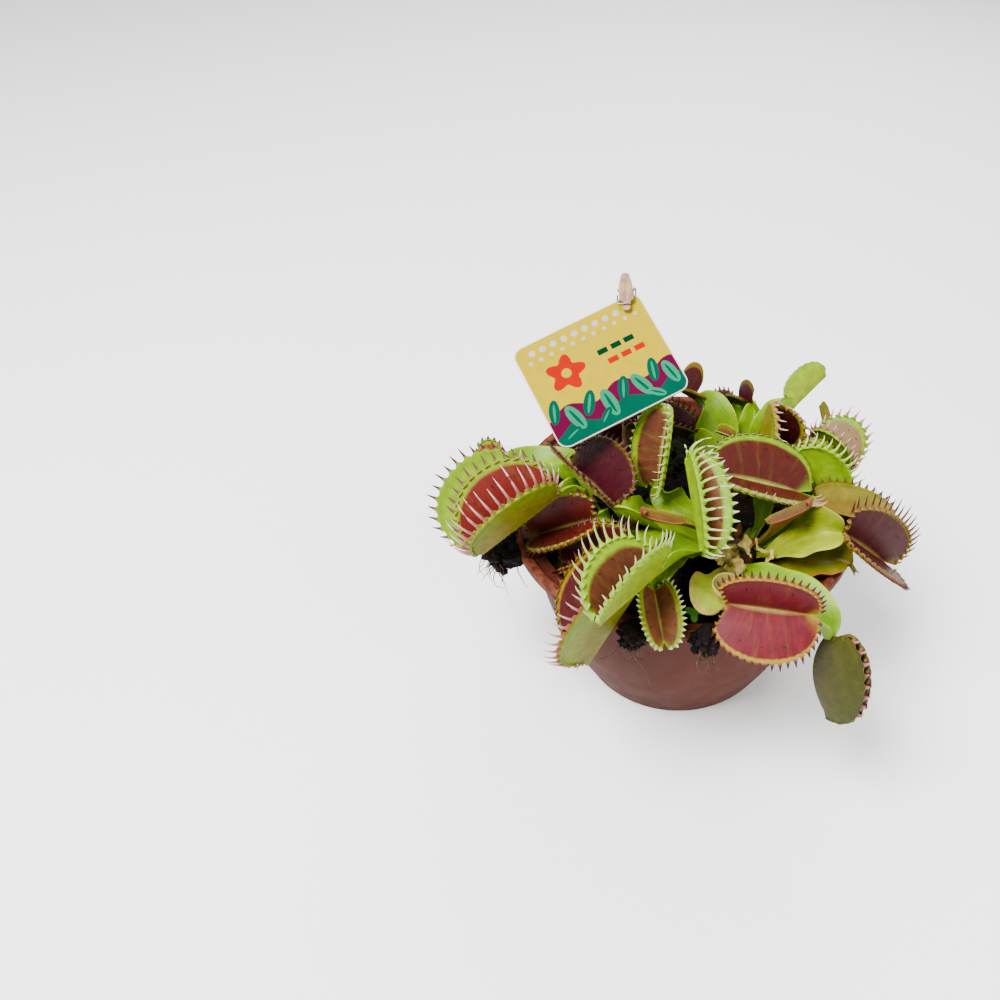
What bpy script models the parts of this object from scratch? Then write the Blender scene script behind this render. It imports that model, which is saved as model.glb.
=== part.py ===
"""Potted venus flytrap: a low plastic pot of soil, three crowns of trap leaves, and a label
card held by a small wooden peg on a stick.

World frame: origin at the centre of the pot's base, +Z up, -Y towards the front of the plant.
Lengths below are millimetres and angles are degrees; MM turns them into metres.
"""
import math

import bpy
import bmesh
import numpy as np
from mathutils import Vector

MM = 0.001
GAP = 0.3

# ---- pot ----
RIM_RADIUS = 50.0
POT_HEIGHT = 60.0
BASE_RADIUS = 31.0
LIP_HEIGHT = 3.0
LIP_WIDTH = 2.5
LIP_EDGE = 0.6
SHOULDER_RADIUS = 44.5
WALL = 1.3
FLOOR = 1.6
WALL_BOW = 3.2
WALL_RINGS = 6
DRAIN_COUNT = 6
DRAIN_RADIUS = 3.0
DRAIN_CIRCLE = 20.0
POT_STEPS = 48

# ---- soil ----
SOIL_TOP = 53.0
SOIL_EDGE = 51.0
SOIL_STEPS = 40

# ---- leaf crowns: centre and radius, each a low dome on the soil ----
CROWNS = {
    "front": ((15.0, -15.0), 6.0),
    "rear": ((17.0, 13.0), 5.0),
    "left": ((-13.0, -6.0), 5.0),
}
CROWN_HEIGHT = 6.5
CROWN_SHOULDER = 4.2
CROWN_INSET = 0.6

# ---- leaves ----
LEAF_THICKNESS = 0.8
NARROW_TRAP = 50
NECK = 0.9
NECK_COSINE = 0.35
ATTACH_HEIGHT = 1.6
END_POWER = 0.7
GUTTER_FOLD = 14
SIDE_COLUMNS = 2

# ---- card, stick and peg ----
CARD_CENTRE = (-25.2, 11.3, 95.5)
CARD_WIDTH = 38.7
CARD_HEIGHT = 32.8
CARD_THICKNESS = 0.6
CARD_CORNER = 3.0
CARD_LEAN = 29.7
CARD_TURN = -7.5
CARD_SPIN = 38.3
STICK_RADIUS = 1.5
STICK_DEPTH = 14.0

# peg: the jaw's tip sits at PEG_TIP in the card's leaning frame and the peg is turned about it;
# pivot and hook are distances up the peg from its jaw tip
PEG_TIP = (3.9, 18.0)
PEG_TURN = 13.7
PEG_LENGTH = 11.0
PEG_WIDTH = 4.0
PEG_THICKNESS = 1.4
PEG_SPREAD = 6.0
PEG_PIVOT = 6.8
STICK_MEETS = 5.5
SPRING_RADIUS = 0.8
SPRING_WIRE = 0.2
SPRING_TURNS = 3
SPRING_HOOK = 1.5

# ---- loose bits: soil spilled over the rim (azimuth, reach, height, width), a cut stalk ----
CRUMBS = {
    "soil_crumb_left": (205, 52.0, 57, 5.5),
    "soil_crumb_front_left": (258, 51.0, 59, 3.4),
    "soil_crumb_front_right": (279, 50.5, 59, 3.6),
}
STALK_PLACE = (32.5, -19.0)
STALK_HEADING = -20.0
STALK_RADIUS = 1.7
STALK_LENGTH = 7.0
SEEDLING_PLACE = (4.5, -37.0)
SEEDLING_RADIUS = 2.6


def leaf(name, crown, leave, base, heading, pitch, roll, length, depth, opening, width,
         curl=10, spread=0.25, reach=None, bow=0, rise=35, follow=0.5, face=(0, 0, 1),
         rows=(6, 8), up=ATTACH_HEIGHT, tuck=0, look="green"):
    """One row of the leaf list: where the petiole leaves its crown, and where its trap sits.
    A leaf with a tuck is young: its trap lies doubled back, that far over the petiole's end."""
    return dict(name=name, crown=crown, leave=leave, base=base, heading=heading, pitch=pitch,
                roll=roll, length=length, depth=depth, opening=opening, width=width, curl=curl,
                spread=spread, reach=spread if reach is None else reach, bow=bow, rise=rise,
                follow=follow, face=face, rows=rows, up=up, tuck=tuck, look=look)


# name, crown, azimuth on the crown, trap base, trap heading, pitch and roll, trap length,
# lobe depth, opening angle, petiole width
LEAVES = [
    leaf("leaf_big_red_left", "left", 210, (-33, -18, 76), -145, -25, -10, 25.5, 17, 65, 9,
         curl=9, spread=0.1, rise=45, up=2.4, look="red"),
    leaf("leaf_green_far_left", "left", 160, (-45, -6, 70), -140, -40, -80, 23.5, 16, 55, 9,
         rise=55, up=2.4, look="green"),
    leaf("leaf_small_far_left", "left", 120, (-55, 11, 60), -180, -10, 10, 6.5, 7, 80, 11,
         rise=60, rows=(6, 5), up=4, look="orange"),
    leaf("leaf_red_inner_left", "left", 240, (-23, -19, 69), 175, -30, 35, 18.5, 10.5, 85, 6,
         spread=0.28, rise=40, up=4, look="red"),
    leaf("leaf_dark_red_left", "left", 260, (-14, -26, 65), -180, -30, 10, 17.5, 9.5, 75, 6,
         rise=15, up=4, look="maroon"),
    leaf("leaf_long_front_left", "left", 280, (-8, -43, 75), -145, -55, -30, 30.5, 18, 85, 8,
         spread=0.12, reach=-0.05, rise=45, up=4, look="green"),
    leaf("leaf_maroon_under_card", "front", 165, (-18, -20, 74), 125, -10, -5, 24.5, 13.5, 75,
         13, rise=25, look="maroon"),
    leaf("leaf_young_left", "front", 178, (-9.5, -26.8, 80.8), -7, -4, 180, 9.2, 2.5, 18, 5,
         curl=0, rise=65, follow=0, rows=(7, 5), up=4, tuck=2.4, look="orange"),
    leaf("leaf_lime_front_left", "front", 205, (-5, -44, 77), -120, 10, -15, 24, 13.5, 55, 11,
         spread=0.1, rise=50, up=4, look="lime"),
    leaf("leaf_small_front", "front", 195, (-6, -41, 67), -75, -20, 5, 14, 6, 115, 9,
         spread=0.3, rise=20, up=2.4, look="orange"),
    leaf("leaf_wide_red_front", "front", 260, (12, -44, 67), -5, 0, -65, 21, 13.5, 110, 14,
         rise=15, up=3.2, look="red"),
    leaf("leaf_hanging_front_right", "front", 280, (39, -45, 57), -80, -65, 45, 19.5, 15, 10,
         15, curl=-22, spread=0.31, bow=3, rise=40, up=4, look="olive"),
    leaf("leaf_red_right", "front", 350, (43, -17, 68), 20, -45, -40, 22.5, 12.5, 85, 17,
         spread=0.38, rise=30, up=2.4, look="red"),
    leaf("leaf_curled_right", "front", 320, (46, -22, 61), -50, -30, -15, 2.5, 0.5, 125, 13,
         rise=10, rows=(7, 3), up=0.8, look="olive"),
    leaf("leaf_young_right", "front", 14, (32, -19, 80.5), -149, -5, 180, 11.3, 2.7, 18, 6,
         curl=0, rise=55, follow=0, rows=(7, 5), up=4, tuck=2.4, look="orange"),
    leaf("leaf_green_centre_left", "front", 150, (-7.6, -7, 71.6), 80, 62, 44, 19.5, 9.5, 120, 9,
         rise=70, up=4, look="green"),
    leaf("leaf_lime_centre", "front", 125, (0, -11, 84), -75, -30, 30, 24, 10.2, 55, 9,
         spread=0.15, rise=50, up=2.4, look="lime"),
    leaf("leaf_red_centre", "front", 105, (9, -9, 79), 10, -20, -10, 24.5, 13, 115, 8,
         spread=0.27, rise=75, look="red"),
    leaf("leaf_lime_back_right", "front", 45, (27, 5, 75), -10, -50, 25, 23.5, 13, 30, 8,
         spread=0, up=3.2, look="lime"),
    leaf("leaf_olive_right", "front", 20, (37, -5, 66), -10, -5, 85, 19, 8.5, 45, 8,
         spread=0.27, up=0.8, look="olive"),
    leaf("leaf_dark_behind_card", "rear", 175, (0, 22, 66), 180, 5, -5, 17, 9.3, 75, 10,
         rise=30, up=4, look="maroon"),
    leaf("leaf_hairpin_back", "rear", 230, (13, 6, 79), 150, -5, 25, 5, 4, 35, 4, rise=65,
         rows=(5, 4), up=2.4, look="orange"),
    leaf("leaf_upright_back_left", "rear", 115, (1, 32, 73), 190, 35, 5, 6.5, 10, 95, 14,
         rise=40, face=(0, -1, 0.6), rows=(6, 5), up=4, look="maroon"),
    leaf("leaf_serrated_back", "rear", 120, (13, 44, 63), -165, -5, -5, 6.5, 4.6, 85, 9,
         rise=10, face=(0, -1, 0.6), rows=(6, 5), up=0.8, look="maroon"),
    leaf("leaf_small_back", "rear", 90, (19, 37, 68), 130, -30, 15, 6.5, 7.7, 60, 9, rise=20,
         face=(0, -1, 0.6), rows=(6, 5), up=0.8, look="maroon"),
    leaf("leaf_tall_closed_back", "rear", 75, (31, 30, 75), 50, 15, 55, 14.5, 6.7, 5, 13,
         curl=-18, spread=0.15, rise=25, face=(0, -1, 0.8), up=4, look="lime"),
    leaf("leaf_arching_back", "rear", 5, (20.5, 16.5, 72.5), 0, 80, -130, 11.6, 12.5, 55, 7, rise=60,
         up=4, look="olive"),
    leaf("leaf_green_back_right", "rear", -15, (36, 18, 70), -35, -15, 15, 13.2, 13.2, 70, 9,
         spread=0.2, rise=10, up=3.2, look="green"),
    leaf("leaf_purple_back_right", "rear", 20, (41, 30, 68), 105, 30, -60, 6, 2.2, 30, 10,
         curl=0, rise=15, rows=(6, 4), up=0.8, look="maroon"),
]

# ---- looks: colour, roughness, metallic ----
LOOKS = {
    "terracotta_plastic": ((0.30, 0.115, 0.085), 0.5, 0.0),
    "dark_soil": ((0.02, 0.015, 0.01), 0.95, 0.0),
    "printed_card": ((0.9, 0.62, 0.08), 0.45, 0.0),
    "pale_wood": ((0.62, 0.45, 0.29), 0.6, 0.0),
    "spring_steel": ((0.6, 0.6, 0.6), 0.3, 1.0),
    "dry_stalk": ((0.55, 0.52, 0.30), 0.6, 0.0),
    "leaf_crown": ((0.20, 0.10, 0.06), 0.6, 0.0),
    "leaf_green": ((0.25, 0.38, 0.06), 0.45, 0.0),
    "leaf_lime": ((0.42, 0.55, 0.10), 0.45, 0.0),
    "leaf_olive": ((0.24, 0.27, 0.07), 0.45, 0.0),
    "leaf_orange": ((0.60, 0.27, 0.14), 0.45, 0.0),
    "leaf_red": ((0.42, 0.09, 0.06), 0.45, 0.0),
    "leaf_maroon": ((0.17, 0.03, 0.035), 0.45, 0.0),
}


# ---------------------------------------------------------------- scene helpers

def clear_scene():
    for obj in list(bpy.data.objects):
        bpy.data.objects.remove(obj, do_unlink=True)


def collection(name):
    made = bpy.data.collections.new(name)
    bpy.context.scene.collection.children.link(made)
    return made


def material(name, colour, roughness, metallic):
    made = bpy.data.materials.new(name)
    made.use_nodes = True
    shader = made.node_tree.nodes["Principled BSDF"]
    shader.inputs["Base Color"].default_value = (*colour, 1.0)
    shader.inputs["Roughness"].default_value = roughness
    shader.inputs["Metallic"].default_value = metallic
    return made


def add_object(name, mesh, home, look, smooth=True):
    obj = bpy.data.objects.new(name, mesh)
    home.objects.link(obj)
    if look:
        mesh.materials.append(look)
    if smooth:
        mesh.shade_smooth()
        mesh.set_sharp_from_angle(angle=math.radians(35))
    return obj


def mesh_from(name, points, faces):
    mesh = bpy.data.meshes.new(name)
    mesh.from_pydata([tuple(float(c) * MM for c in p) for p in points], [], faces)
    mesh.update()
    return mesh


def grid_faces(rows, columns):
    return [(r * columns + c, r * columns + c + 1, (r + 1) * columns + c + 1, (r + 1) * columns + c)
            for r in range(rows - 1) for c in range(columns - 1)]


def turned(name, profile, steps, home, look):
    """A closed body from a profile of (radius, height) points that starts and ends on the axis."""
    mesh = mesh_from(name, [(r, 0, z) for r, z in profile], [])
    mesh.edges.add(len(profile) - 1)
    for i in range(len(profile) - 1):
        mesh.edges[i].vertices = (i, i + 1)
    obj = add_object(name, mesh, home, look, smooth=False)
    screw = obj.modifiers.new("turn", "SCREW")
    screw.steps = screw.render_steps = steps
    screw.use_merge_vertices = True
    screw.merge_threshold = 0.00001
    return obj


# ---------------------------------------------------------------- pot and soil

def wall_radius(height):
    """Outer radius of the wall: a straight flare with a slight bowl-like bulge."""
    share = height / (POT_HEIGHT - LIP_HEIGHT)
    flare = (SHOULDER_RADIUS - BASE_RADIUS) * share
    return BASE_RADIUS + flare + WALL_BOW * math.sin(math.pi * share)


def pot_profile():
    """From the floor's middle up the inside, over the lip and down the outside to the base."""
    lip_bottom = POT_HEIGHT - LIP_HEIGHT
    lip_inner = RIM_RADIUS - LIP_WIDTH
    heights = [lip_bottom * k / WALL_RINGS for k in range(WALL_RINGS + 1)]
    outer = [(wall_radius(h), h) for h in heights]
    inner = [(wall_radius(h) - WALL, h) for h in [FLOOR] + heights[1:-1]]
    lip = [(SHOULDER_RADIUS - WALL, lip_bottom + LIP_EDGE), (lip_inner, lip_bottom + 2 * LIP_EDGE),
           (lip_inner, POT_HEIGHT - LIP_EDGE), (lip_inner + LIP_EDGE, POT_HEIGHT),
           (RIM_RADIUS - LIP_EDGE, POT_HEIGHT), (RIM_RADIUS, POT_HEIGHT - LIP_EDGE),
           (RIM_RADIUS - LIP_EDGE / 2, lip_bottom)]
    return [(0, FLOOR)] + inner + lip + outer[::-1] + [(0, 0)]


def make_pot(home, tools, look):
    pot = turned("pot", pot_profile(), POT_STEPS, home, look)
    for k in range(DRAIN_COUNT):
        turn = math.radians(360 * (k + 0.5) / DRAIN_COUNT)
        place = (DRAIN_CIRCLE * math.cos(turn) * MM, DRAIN_CIRCLE * math.sin(turn) * MM,
                 FLOOR / 2 * MM)
        bpy.ops.mesh.primitive_cylinder_add(vertices=16, radius=DRAIN_RADIUS * MM,
                                            depth=4 * FLOOR * MM, location=place)
        cut_with(pot, bpy.context.object, f"cutter_drain_{k + 1}", tools)
    return pot


def soil_radius(height):
    """Radius of the soil body at a height: the pot's inner wall less a fitting gap."""
    return wall_radius(height) - WALL - 2 * GAP


def soil_height(radius):
    """Height of the soil's slightly mounded top at a distance from the pot's axis."""
    share = radius / soil_radius(SOIL_EDGE)
    return SOIL_TOP - (SOIL_TOP - SOIL_EDGE) * share ** 6


def soil_profile():
    """Soil body from its mounded top down the inside of the wall to the floor."""
    side = []
    for k in range(5, -1, -1):
        height = max(SOIL_EDGE * k / 5, FLOOR + GAP)
        side.append((soil_radius(height), height))
    edge = side[0][0]
    top = [(edge * share, soil_height(edge * share)) for share in (0, 0.6, 0.8, 0.9)]
    return top + side + [(0, FLOOR + GAP)]


def make_crown(name, centre, radius, home, look):
    """The low rhizome dome that one rosette of leaves grows from."""
    rise = CROWN_HEIGHT - CROWN_SHOULDER
    radius -= CROWN_INSET
    profile = [(radius * math.sin(math.radians(30 * k)),
                CROWN_SHOULDER + rise * math.cos(math.radians(30 * k))) for k in range(4)]
    profile += [(radius, 0), (0, 0)]
    crown = turned(name, profile, 20, home, look)
    crown.location = (centre[0] * MM, centre[1] * MM, (SOIL_TOP + GAP) * MM)
    return crown


# ---------------------------------------------------------------- leaves

def unit(v):
    v = np.asarray(v, float)
    return v / np.maximum(np.linalg.norm(v, axis=-1, keepdims=True), 1e-12)


def direction(heading, pitch):
    h, p = np.radians([heading, pitch])
    return np.array([np.cos(h) * np.cos(p), np.sin(h) * np.cos(p), np.sin(p)])


def trap_axes(heading, pitch, roll):
    """Unit vectors along the midrib, across the trap and out of its mouth."""
    h, r = np.radians([heading, roll])
    along = direction(heading, pitch)
    side = np.array([-np.sin(h), np.cos(h), 0.0])
    opening = np.cos(r) * np.cross(along, side) + np.sin(r) * side
    return along, np.cross(opening, along), opening


def trap_points(f, turn, across):
    """Lobes as a grid: rows turn from -90 to 90 degrees along the midrib, columns run from one
    margin (-1) over the midrib (0) to the other margin (1)."""
    angle = np.radians(turn)[:, None]
    from_midrib = np.abs(across)[None, :]
    share = (turn[:, None] + 90) / 180
    length = f["length"]
    at_neck = np.clip(np.cos(angle) / NECK_COSINE, 0, 1)
    stretch = np.where(angle < 0, f["spread"] * at_neck, f["reach"])
    margin = length / 2 * (1 + (1 + stretch) * np.sin(angle))
    depth = NECK + (f["depth"] - NECK) * np.clip(np.cos(angle), 0, 1) ** END_POWER
    half, curl = np.radians([f["opening"] / 2, f["curl"]])
    if f["curl"]:
        start = half - curl
        lean = start + 2 * curl * from_midrib
        height = (np.sin(lean) - np.sin(start)) / (2 * curl)
        out = (np.cos(start) - np.cos(lean)) / (2 * curl)
    else:
        height = np.cos(half) * from_midrib
        out = np.sin(half) * from_midrib
    keel = -4 * f["bow"] * share * (1 - share)
    x = length * share * (1 - from_midrib) + margin * from_midrib
    return np.stack([x, np.sign(across)[None, :] * out * depth, height * depth + keel], -1)


def width_share(u, start=0.1, peak=0.68, end=0.1):
    """Share of a petiole's full width at u along it: narrow foot, broad end, pinched neck."""
    rise = start + (1 - start) * np.sin(np.pi / 2 * np.clip(u / peak, 0, 1)) ** 1.4
    past = (np.clip(u, peak, 1) - peak) / (1 - peak)
    fall = end + (1 - end) * np.sqrt(np.clip(1 - past ** 2.4, 0, 1))
    return np.where(u < peak, rise, fall)


def petiole_points(f, u, across):
    """Petiole as a grid: rows along a cubic curve from the crown to the trap, folded like a
    gutter and turning near its end to meet the trap's lobes. Under a tucked trap it keeps its
    own fold."""
    base = np.array(f["base"], float)
    along, _, opening = trap_axes(f["heading"], f["pitch"], f["roll"])
    (cx, cy), radius = CROWNS[f["crown"]]
    root = np.array([cx, cy, SOIL_TOP + GAP + f["up"]]) + direction(f["leave"], 0) * (radius + GAP)
    end = base + f["tuck"] * opening
    span = np.linalg.norm(end - root)
    leaving = direction(f["leave"], f["rise"])
    arriving = unit(unit(end - root) * (1 - f["follow"]) + along * f["follow"])
    first, second = root + 0.4 * span * leaving, end - 0.35 * span * arriving
    t = u[:, None]
    middle = ((1 - t) ** 3 * root + 3 * (1 - t) ** 2 * t * first
              + 3 * (1 - t) * t ** 2 * second + t ** 3 * end)
    tangent = unit((1 - t) ** 2 * (first - root) + 2 * (1 - t) * t * (second - first)
                   + t ** 2 * (end - second))
    near_end = np.clip((t - 0.55) / 0.45, 0, 1)
    blend = near_end ** 2 * (3 - 2 * near_end) * (f["tuck"] == 0)
    above = unit(np.array(f["face"], float)) * (1 - blend) + opening * blend
    side = unit(np.cross(above, tangent))
    above = np.cross(tangent, side)
    half_width = np.maximum(width_share(u) * f["width"] / 2, NECK)
    lobe_fold = 90 - f["opening"] / 2 + f["curl"]
    fold = np.radians(GUTTER_FOLD * (1 - blend[:, 0]) + lobe_fold * blend[:, 0])
    offset = across[None, :] * half_width[:, None]
    sideways = (offset * np.cos(fold)[:, None])[..., None] * side[:, None]
    upwards = (np.abs(offset) * np.sin(fold)[:, None])[..., None] * above[:, None]
    return middle[:, None] + sideways + upwards


def leaf_points(f):
    """The whole leaf as one grid of points, petiole first and trap after."""
    blade_rows, trap_rows = f["rows"]
    across = np.linspace(-1, 1, 2 * SIDE_COLUMNS + 1)
    u = np.concatenate([np.linspace(0, 0.74, blade_rows - 2), [0.86, 0.95]])
    turn = np.linspace(-90, 90, trap_rows + 1)
    along, side, opening = trap_axes(f["heading"], f["pitch"], f["roll"])
    local = trap_points(f, turn, across)
    trap = (np.array(f["base"], float) + local[..., :1] * along + local[..., 1:2] * side
            + local[..., 2:] * opening)
    return np.concatenate([petiole_points(f, u, across), trap])


def make_leaf(f, home, look):
    points = leaf_points(f)
    rows, columns = points.shape[:2]
    mesh = mesh_from(f["name"], points.reshape(-1, 3), grid_faces(rows, columns))
    obj = add_object(f["name"], mesh, home, look)
    shell = obj.modifiers.new("thickness", "SOLIDIFY")
    shell.thickness = LEAF_THICKNESS * MM
    shell.offset = 1 if f["opening"] < NARROW_TRAP else -1
    return obj


# ---------------------------------------------------------------- card, stick and peg

def empty(name, home, location=(0, 0, 0), rotation=(0, 0, 0), parent=None):
    obj = bpy.data.objects.new(name, None)
    home.objects.link(obj)
    obj.location = [v * MM for v in location]
    obj.rotation_euler = [math.radians(v) for v in rotation]
    obj.parent = parent
    return obj


def flat_outline(name, points, thickness, home, look):
    """A flat closed outline extruded to both sides of its plane."""
    curve = bpy.data.curves.new(name, "CURVE")
    curve.dimensions = "2D"
    curve.fill_mode = "BOTH"
    curve.extrude = thickness / 2 * MM
    spline = curve.splines.new("POLY")
    spline.points.add(len(points) - 1)
    for place, (x, y) in zip(spline.points, points):
        place.co = (x * MM, y * MM, 0, 1)
    spline.use_cyclic_u = True
    obj = bpy.data.objects.new(name, curve)
    home.objects.link(obj)
    curve.materials.append(look)
    return obj


def arc(centre, radius, start, end, steps):
    return [(centre[0] + radius * math.cos(math.radians(start + (end - start) * k / steps)),
             centre[1] + radius * math.sin(math.radians(start + (end - start) * k / steps)))
            for k in range(steps + 1)]


def rounded_rectangle(width, height, corner, steps=6):
    x, y = width / 2 - corner, height / 2 - corner
    return (arc((x, y), corner, 0, 90, steps) + arc((-x, y), corner, 90, 180, steps)
            + arc((-x, -y), corner, 180, 270, steps) + arc((x, -y), corner, 270, 360, steps))


def peg_outline():
    """Front outline of a peg leg, jaw tip at y = 0: a slim jaw, shoulders, a tapered round top."""
    half, jaw, top = PEG_WIDTH / 2, PEG_WIDTH * 0.25, PEG_WIDTH * 0.32
    side = [(jaw, 0.4), (jaw, 2.4), (half, 3.2), (half, 6.2), (half * 0.86, 8.2)]
    head = arc((0, PEG_LENGTH - top), top, 30, 150, 6)
    return ([(jaw - 0.4, 0)] + side + head
            + [(-x, y) for x, y in reversed(side)] + [(-(jaw - 0.4), 0)])


def wire(name, points, home, look):
    curve = bpy.data.curves.new(name, "CURVE")
    curve.dimensions = "3D"
    curve.bevel_depth = SPRING_WIRE * MM
    curve.bevel_resolution = 2
    curve.use_fill_caps = True
    spline = curve.splines.new("POLY")
    spline.points.add(len(points) - 1)
    for place, p in zip(spline.points, points):
        place.co = (*[c * MM for c in p], 1)
    obj = bpy.data.objects.new(name, curve)
    home.objects.link(obj)
    curve.materials.append(look)
    return obj


def spring_arm(side, face):
    """Wire from the coil's end down beside the leg and across its outer face: side is -1 or 1
    along x, face is 1 for the front leg and -1 for the back leg; y is measured from the pivot."""
    beside = side * (PEG_WIDTH / 2 + SPRING_WIRE + GAP)
    hook = SPRING_HOOK - PEG_PIVOT
    rest = CARD_THICKNESS / 2 + 2 * GAP + PEG_THICKNESS + SPRING_WIRE
    rest += math.tan(math.radians(PEG_SPREAD)) * SPRING_HOOK
    return [(beside, hook * 0.35, face * rest * 0.45), (beside, hook * 0.8, face * rest * 0.85),
            (beside * 0.97, hook * 0.95, face * rest * 0.98), (beside * 0.75, hook, face * rest),
            (0, hook, face * rest), (-beside * 0.45, hook, face * rest)]


def coil_points():
    steps = 10 * SPRING_TURNS
    reach = PEG_WIDTH / 2 + SPRING_WIRE + GAP
    points = []
    for k in range(steps + 1):
        turn = 2 * math.pi * k / 10
        points.append((reach * (2 * k / steps - 1), SPRING_RADIUS * math.cos(turn),
                       -SPRING_RADIUS * math.sin(turn)))
    return points


def make_tag(home, tools, soil, looks):
    """The label card, its peg and the stick that carries both, in the card's leaning frame."""
    frame = empty("card_frame", tools, CARD_CENTRE, (CARD_LEAN, 0, CARD_TURN))
    card = flat_outline("label_card", rounded_rectangle(CARD_WIDTH, CARD_HEIGHT, CARD_CORNER),
                        CARD_THICKNESS, home, looks["printed_card"])
    card.parent = frame
    card.rotation_euler = (0, 0, math.radians(CARD_SPIN))

    inner = CARD_THICKNESS / 2 + GAP
    peg = empty("peg_frame", tools, (*PEG_TIP, 0), (0, 0, PEG_TURN), parent=frame)
    for name, face in (("peg_front_leg", 1), ("peg_back_leg", -1)):
        hinge = empty(f"{name}_hinge", tools, (0, PEG_PIVOT, 0), parent=peg)
        leg = flat_outline(name, peg_outline(), PEG_THICKNESS, home, looks["pale_wood"])
        leg.parent = hinge
        leg.location = (0, -PEG_PIVOT * MM, face * (inner + PEG_THICKNESS / 2) * MM)
        leg.rotation_euler = (math.radians(face * PEG_SPREAD), 0, 0)
        if face == 1:
            arm = wire("peg_spring_front_arm", spring_arm(-1, 1), home, looks["spring_steel"])
            arm.parent = hinge
        else:
            spring = wire("peg_spring", coil_points() + spring_arm(1, -1), home, looks["spring_steel"])
            spring.parent = hinge

    bpy.context.view_layer.update()
    lean = peg.matrix_world
    spread = math.tan(math.radians(PEG_SPREAD))
    under = inner + PEG_THICKNESS + GAP + spread * STICK_MEETS
    top = lean @ Vector((0, STICK_MEETS * MM, -under * MM))
    normal = (lean.to_3x3() @ Vector((0, -math.sin(math.radians(PEG_SPREAD)),
                                      -math.cos(math.radians(PEG_SPREAD))))).normalized()
    foot = (SOIL_TOP - STICK_DEPTH) * MM
    stick_mesh = bpy.data.meshes.new("tag_stick")
    bm = bmesh.new()
    bmesh.ops.create_cone(bm, cap_ends=True, segments=14, radius1=STICK_RADIUS * MM,
                          radius2=STICK_RADIUS * MM, depth=top.z - foot)
    bmesh.ops.translate(bm, verts=bm.verts, vec=(top.x, top.y, (top.z + foot) / 2))
    for vert in bm.verts:
        if vert.co.z > (top.z + foot) / 2:
            vert.co.z = top.z - (normal.x * (vert.co.x - top.x)
                                 + normal.y * (vert.co.y - top.y)) / normal.z
    bm.to_mesh(stick_mesh)
    bm.free()
    add_object("tag_stick", stick_mesh, home, looks["pale_wood"])
    bpy.ops.mesh.primitive_cylinder_add(
        vertices=14, radius=(STICK_RADIUS + GAP) * MM, depth=2 * (STICK_DEPTH + GAP) * MM,
        location=(top.x, top.y, SOIL_TOP * MM))
    cut_with(soil, bpy.context.object, "cutter_stick_hole", tools)


def cut_with(target, cutter, name, tools):
    cutter.name = name
    cutter.hide_render = True
    cutter.display_type = "WIRE"
    for owner in list(cutter.users_collection):
        owner.objects.unlink(cutter)
    tools.objects.link(cutter)
    cut = target.modifiers.new(name, "BOOLEAN")
    cut.operation = "DIFFERENCE"
    cut.solver = "EXACT"
    cut.object = cutter


# ---------------------------------------------------------------- loose bits

def make_crumb(name, azimuth, reach, height, size, home, tools, look):
    """A lump of soil that spilled over the rim and hooks on its outside."""
    turn = math.radians(azimuth)
    mesh = bpy.data.meshes.new(name)
    bm = bmesh.new()
    bmesh.ops.create_icosphere(bm, subdivisions=2, radius=size * MM)
    for vert in bm.verts:
        wobble = (math.sin(vert.co.x / MM * 2.1 + azimuth) * math.cos(vert.co.y / MM * 1.7)
                  * math.sin(vert.co.z / MM * 1.9 + 1))
        vert.co *= 1 + 0.18 * wobble
        vert.co.z *= 0.9
    bm.to_mesh(mesh)
    bm.free()
    crumb = add_object(name, mesh, home, look)
    crumb.location = (reach * math.cos(turn) * MM, reach * math.sin(turn) * MM, height * MM)
    bpy.ops.mesh.primitive_cylinder_add(vertices=96, radius=(RIM_RADIUS + GAP) * MM,
                                        depth=POT_HEIGHT * MM,
                                        location=(0, 0, (POT_HEIGHT / 2 + GAP) * MM))
    cut_with(crumb, bpy.context.object, f"cutter_{name}", tools)
    return crumb


def make_stalk(home, look):
    """A pale cut leaf stalk that lies on the soil."""
    bpy.ops.mesh.primitive_cylinder_add(vertices=14, radius=STALK_RADIUS * MM,
                                        depth=STALK_LENGTH * MM)
    stalk = bpy.context.object
    stalk.name = "cut_stalk"
    for owner in list(stalk.users_collection):
        owner.objects.unlink(stalk)
    home.objects.link(stalk)
    stalk.data.materials.append(look)
    stalk.data.shade_smooth()
    stalk.data.set_sharp_from_angle(angle=math.radians(35))
    ground = soil_height(math.hypot(*STALK_PLACE))
    stalk.location = (STALK_PLACE[0] * MM, STALK_PLACE[1] * MM,
                      (ground + 2 * GAP + STALK_RADIUS) * MM)
    stalk.rotation_euler = (0, math.radians(90), math.radians(STALK_HEADING))
    return stalk


def make_seedling(home, look):
    """A three-lobed sprout: a flat outline whose radius swells three times around."""
    points = []
    for k in range(36):
        turn = 2 * math.pi * k / 36
        radius = SEEDLING_RADIUS * (0.72 + 0.28 * math.cos(3 * turn))
        points.append((radius * math.cos(turn), radius * math.sin(turn)))
    sprout = flat_outline("seedling", points, LEAF_THICKNESS, home, look)
    ground = soil_height(math.hypot(*SEEDLING_PLACE))
    sprout.location = (SEEDLING_PLACE[0] * MM, SEEDLING_PLACE[1] * MM, (ground + 1.7) * MM)
    sprout.rotation_euler = (math.radians(22), 0, math.radians(40))
    return sprout


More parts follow.
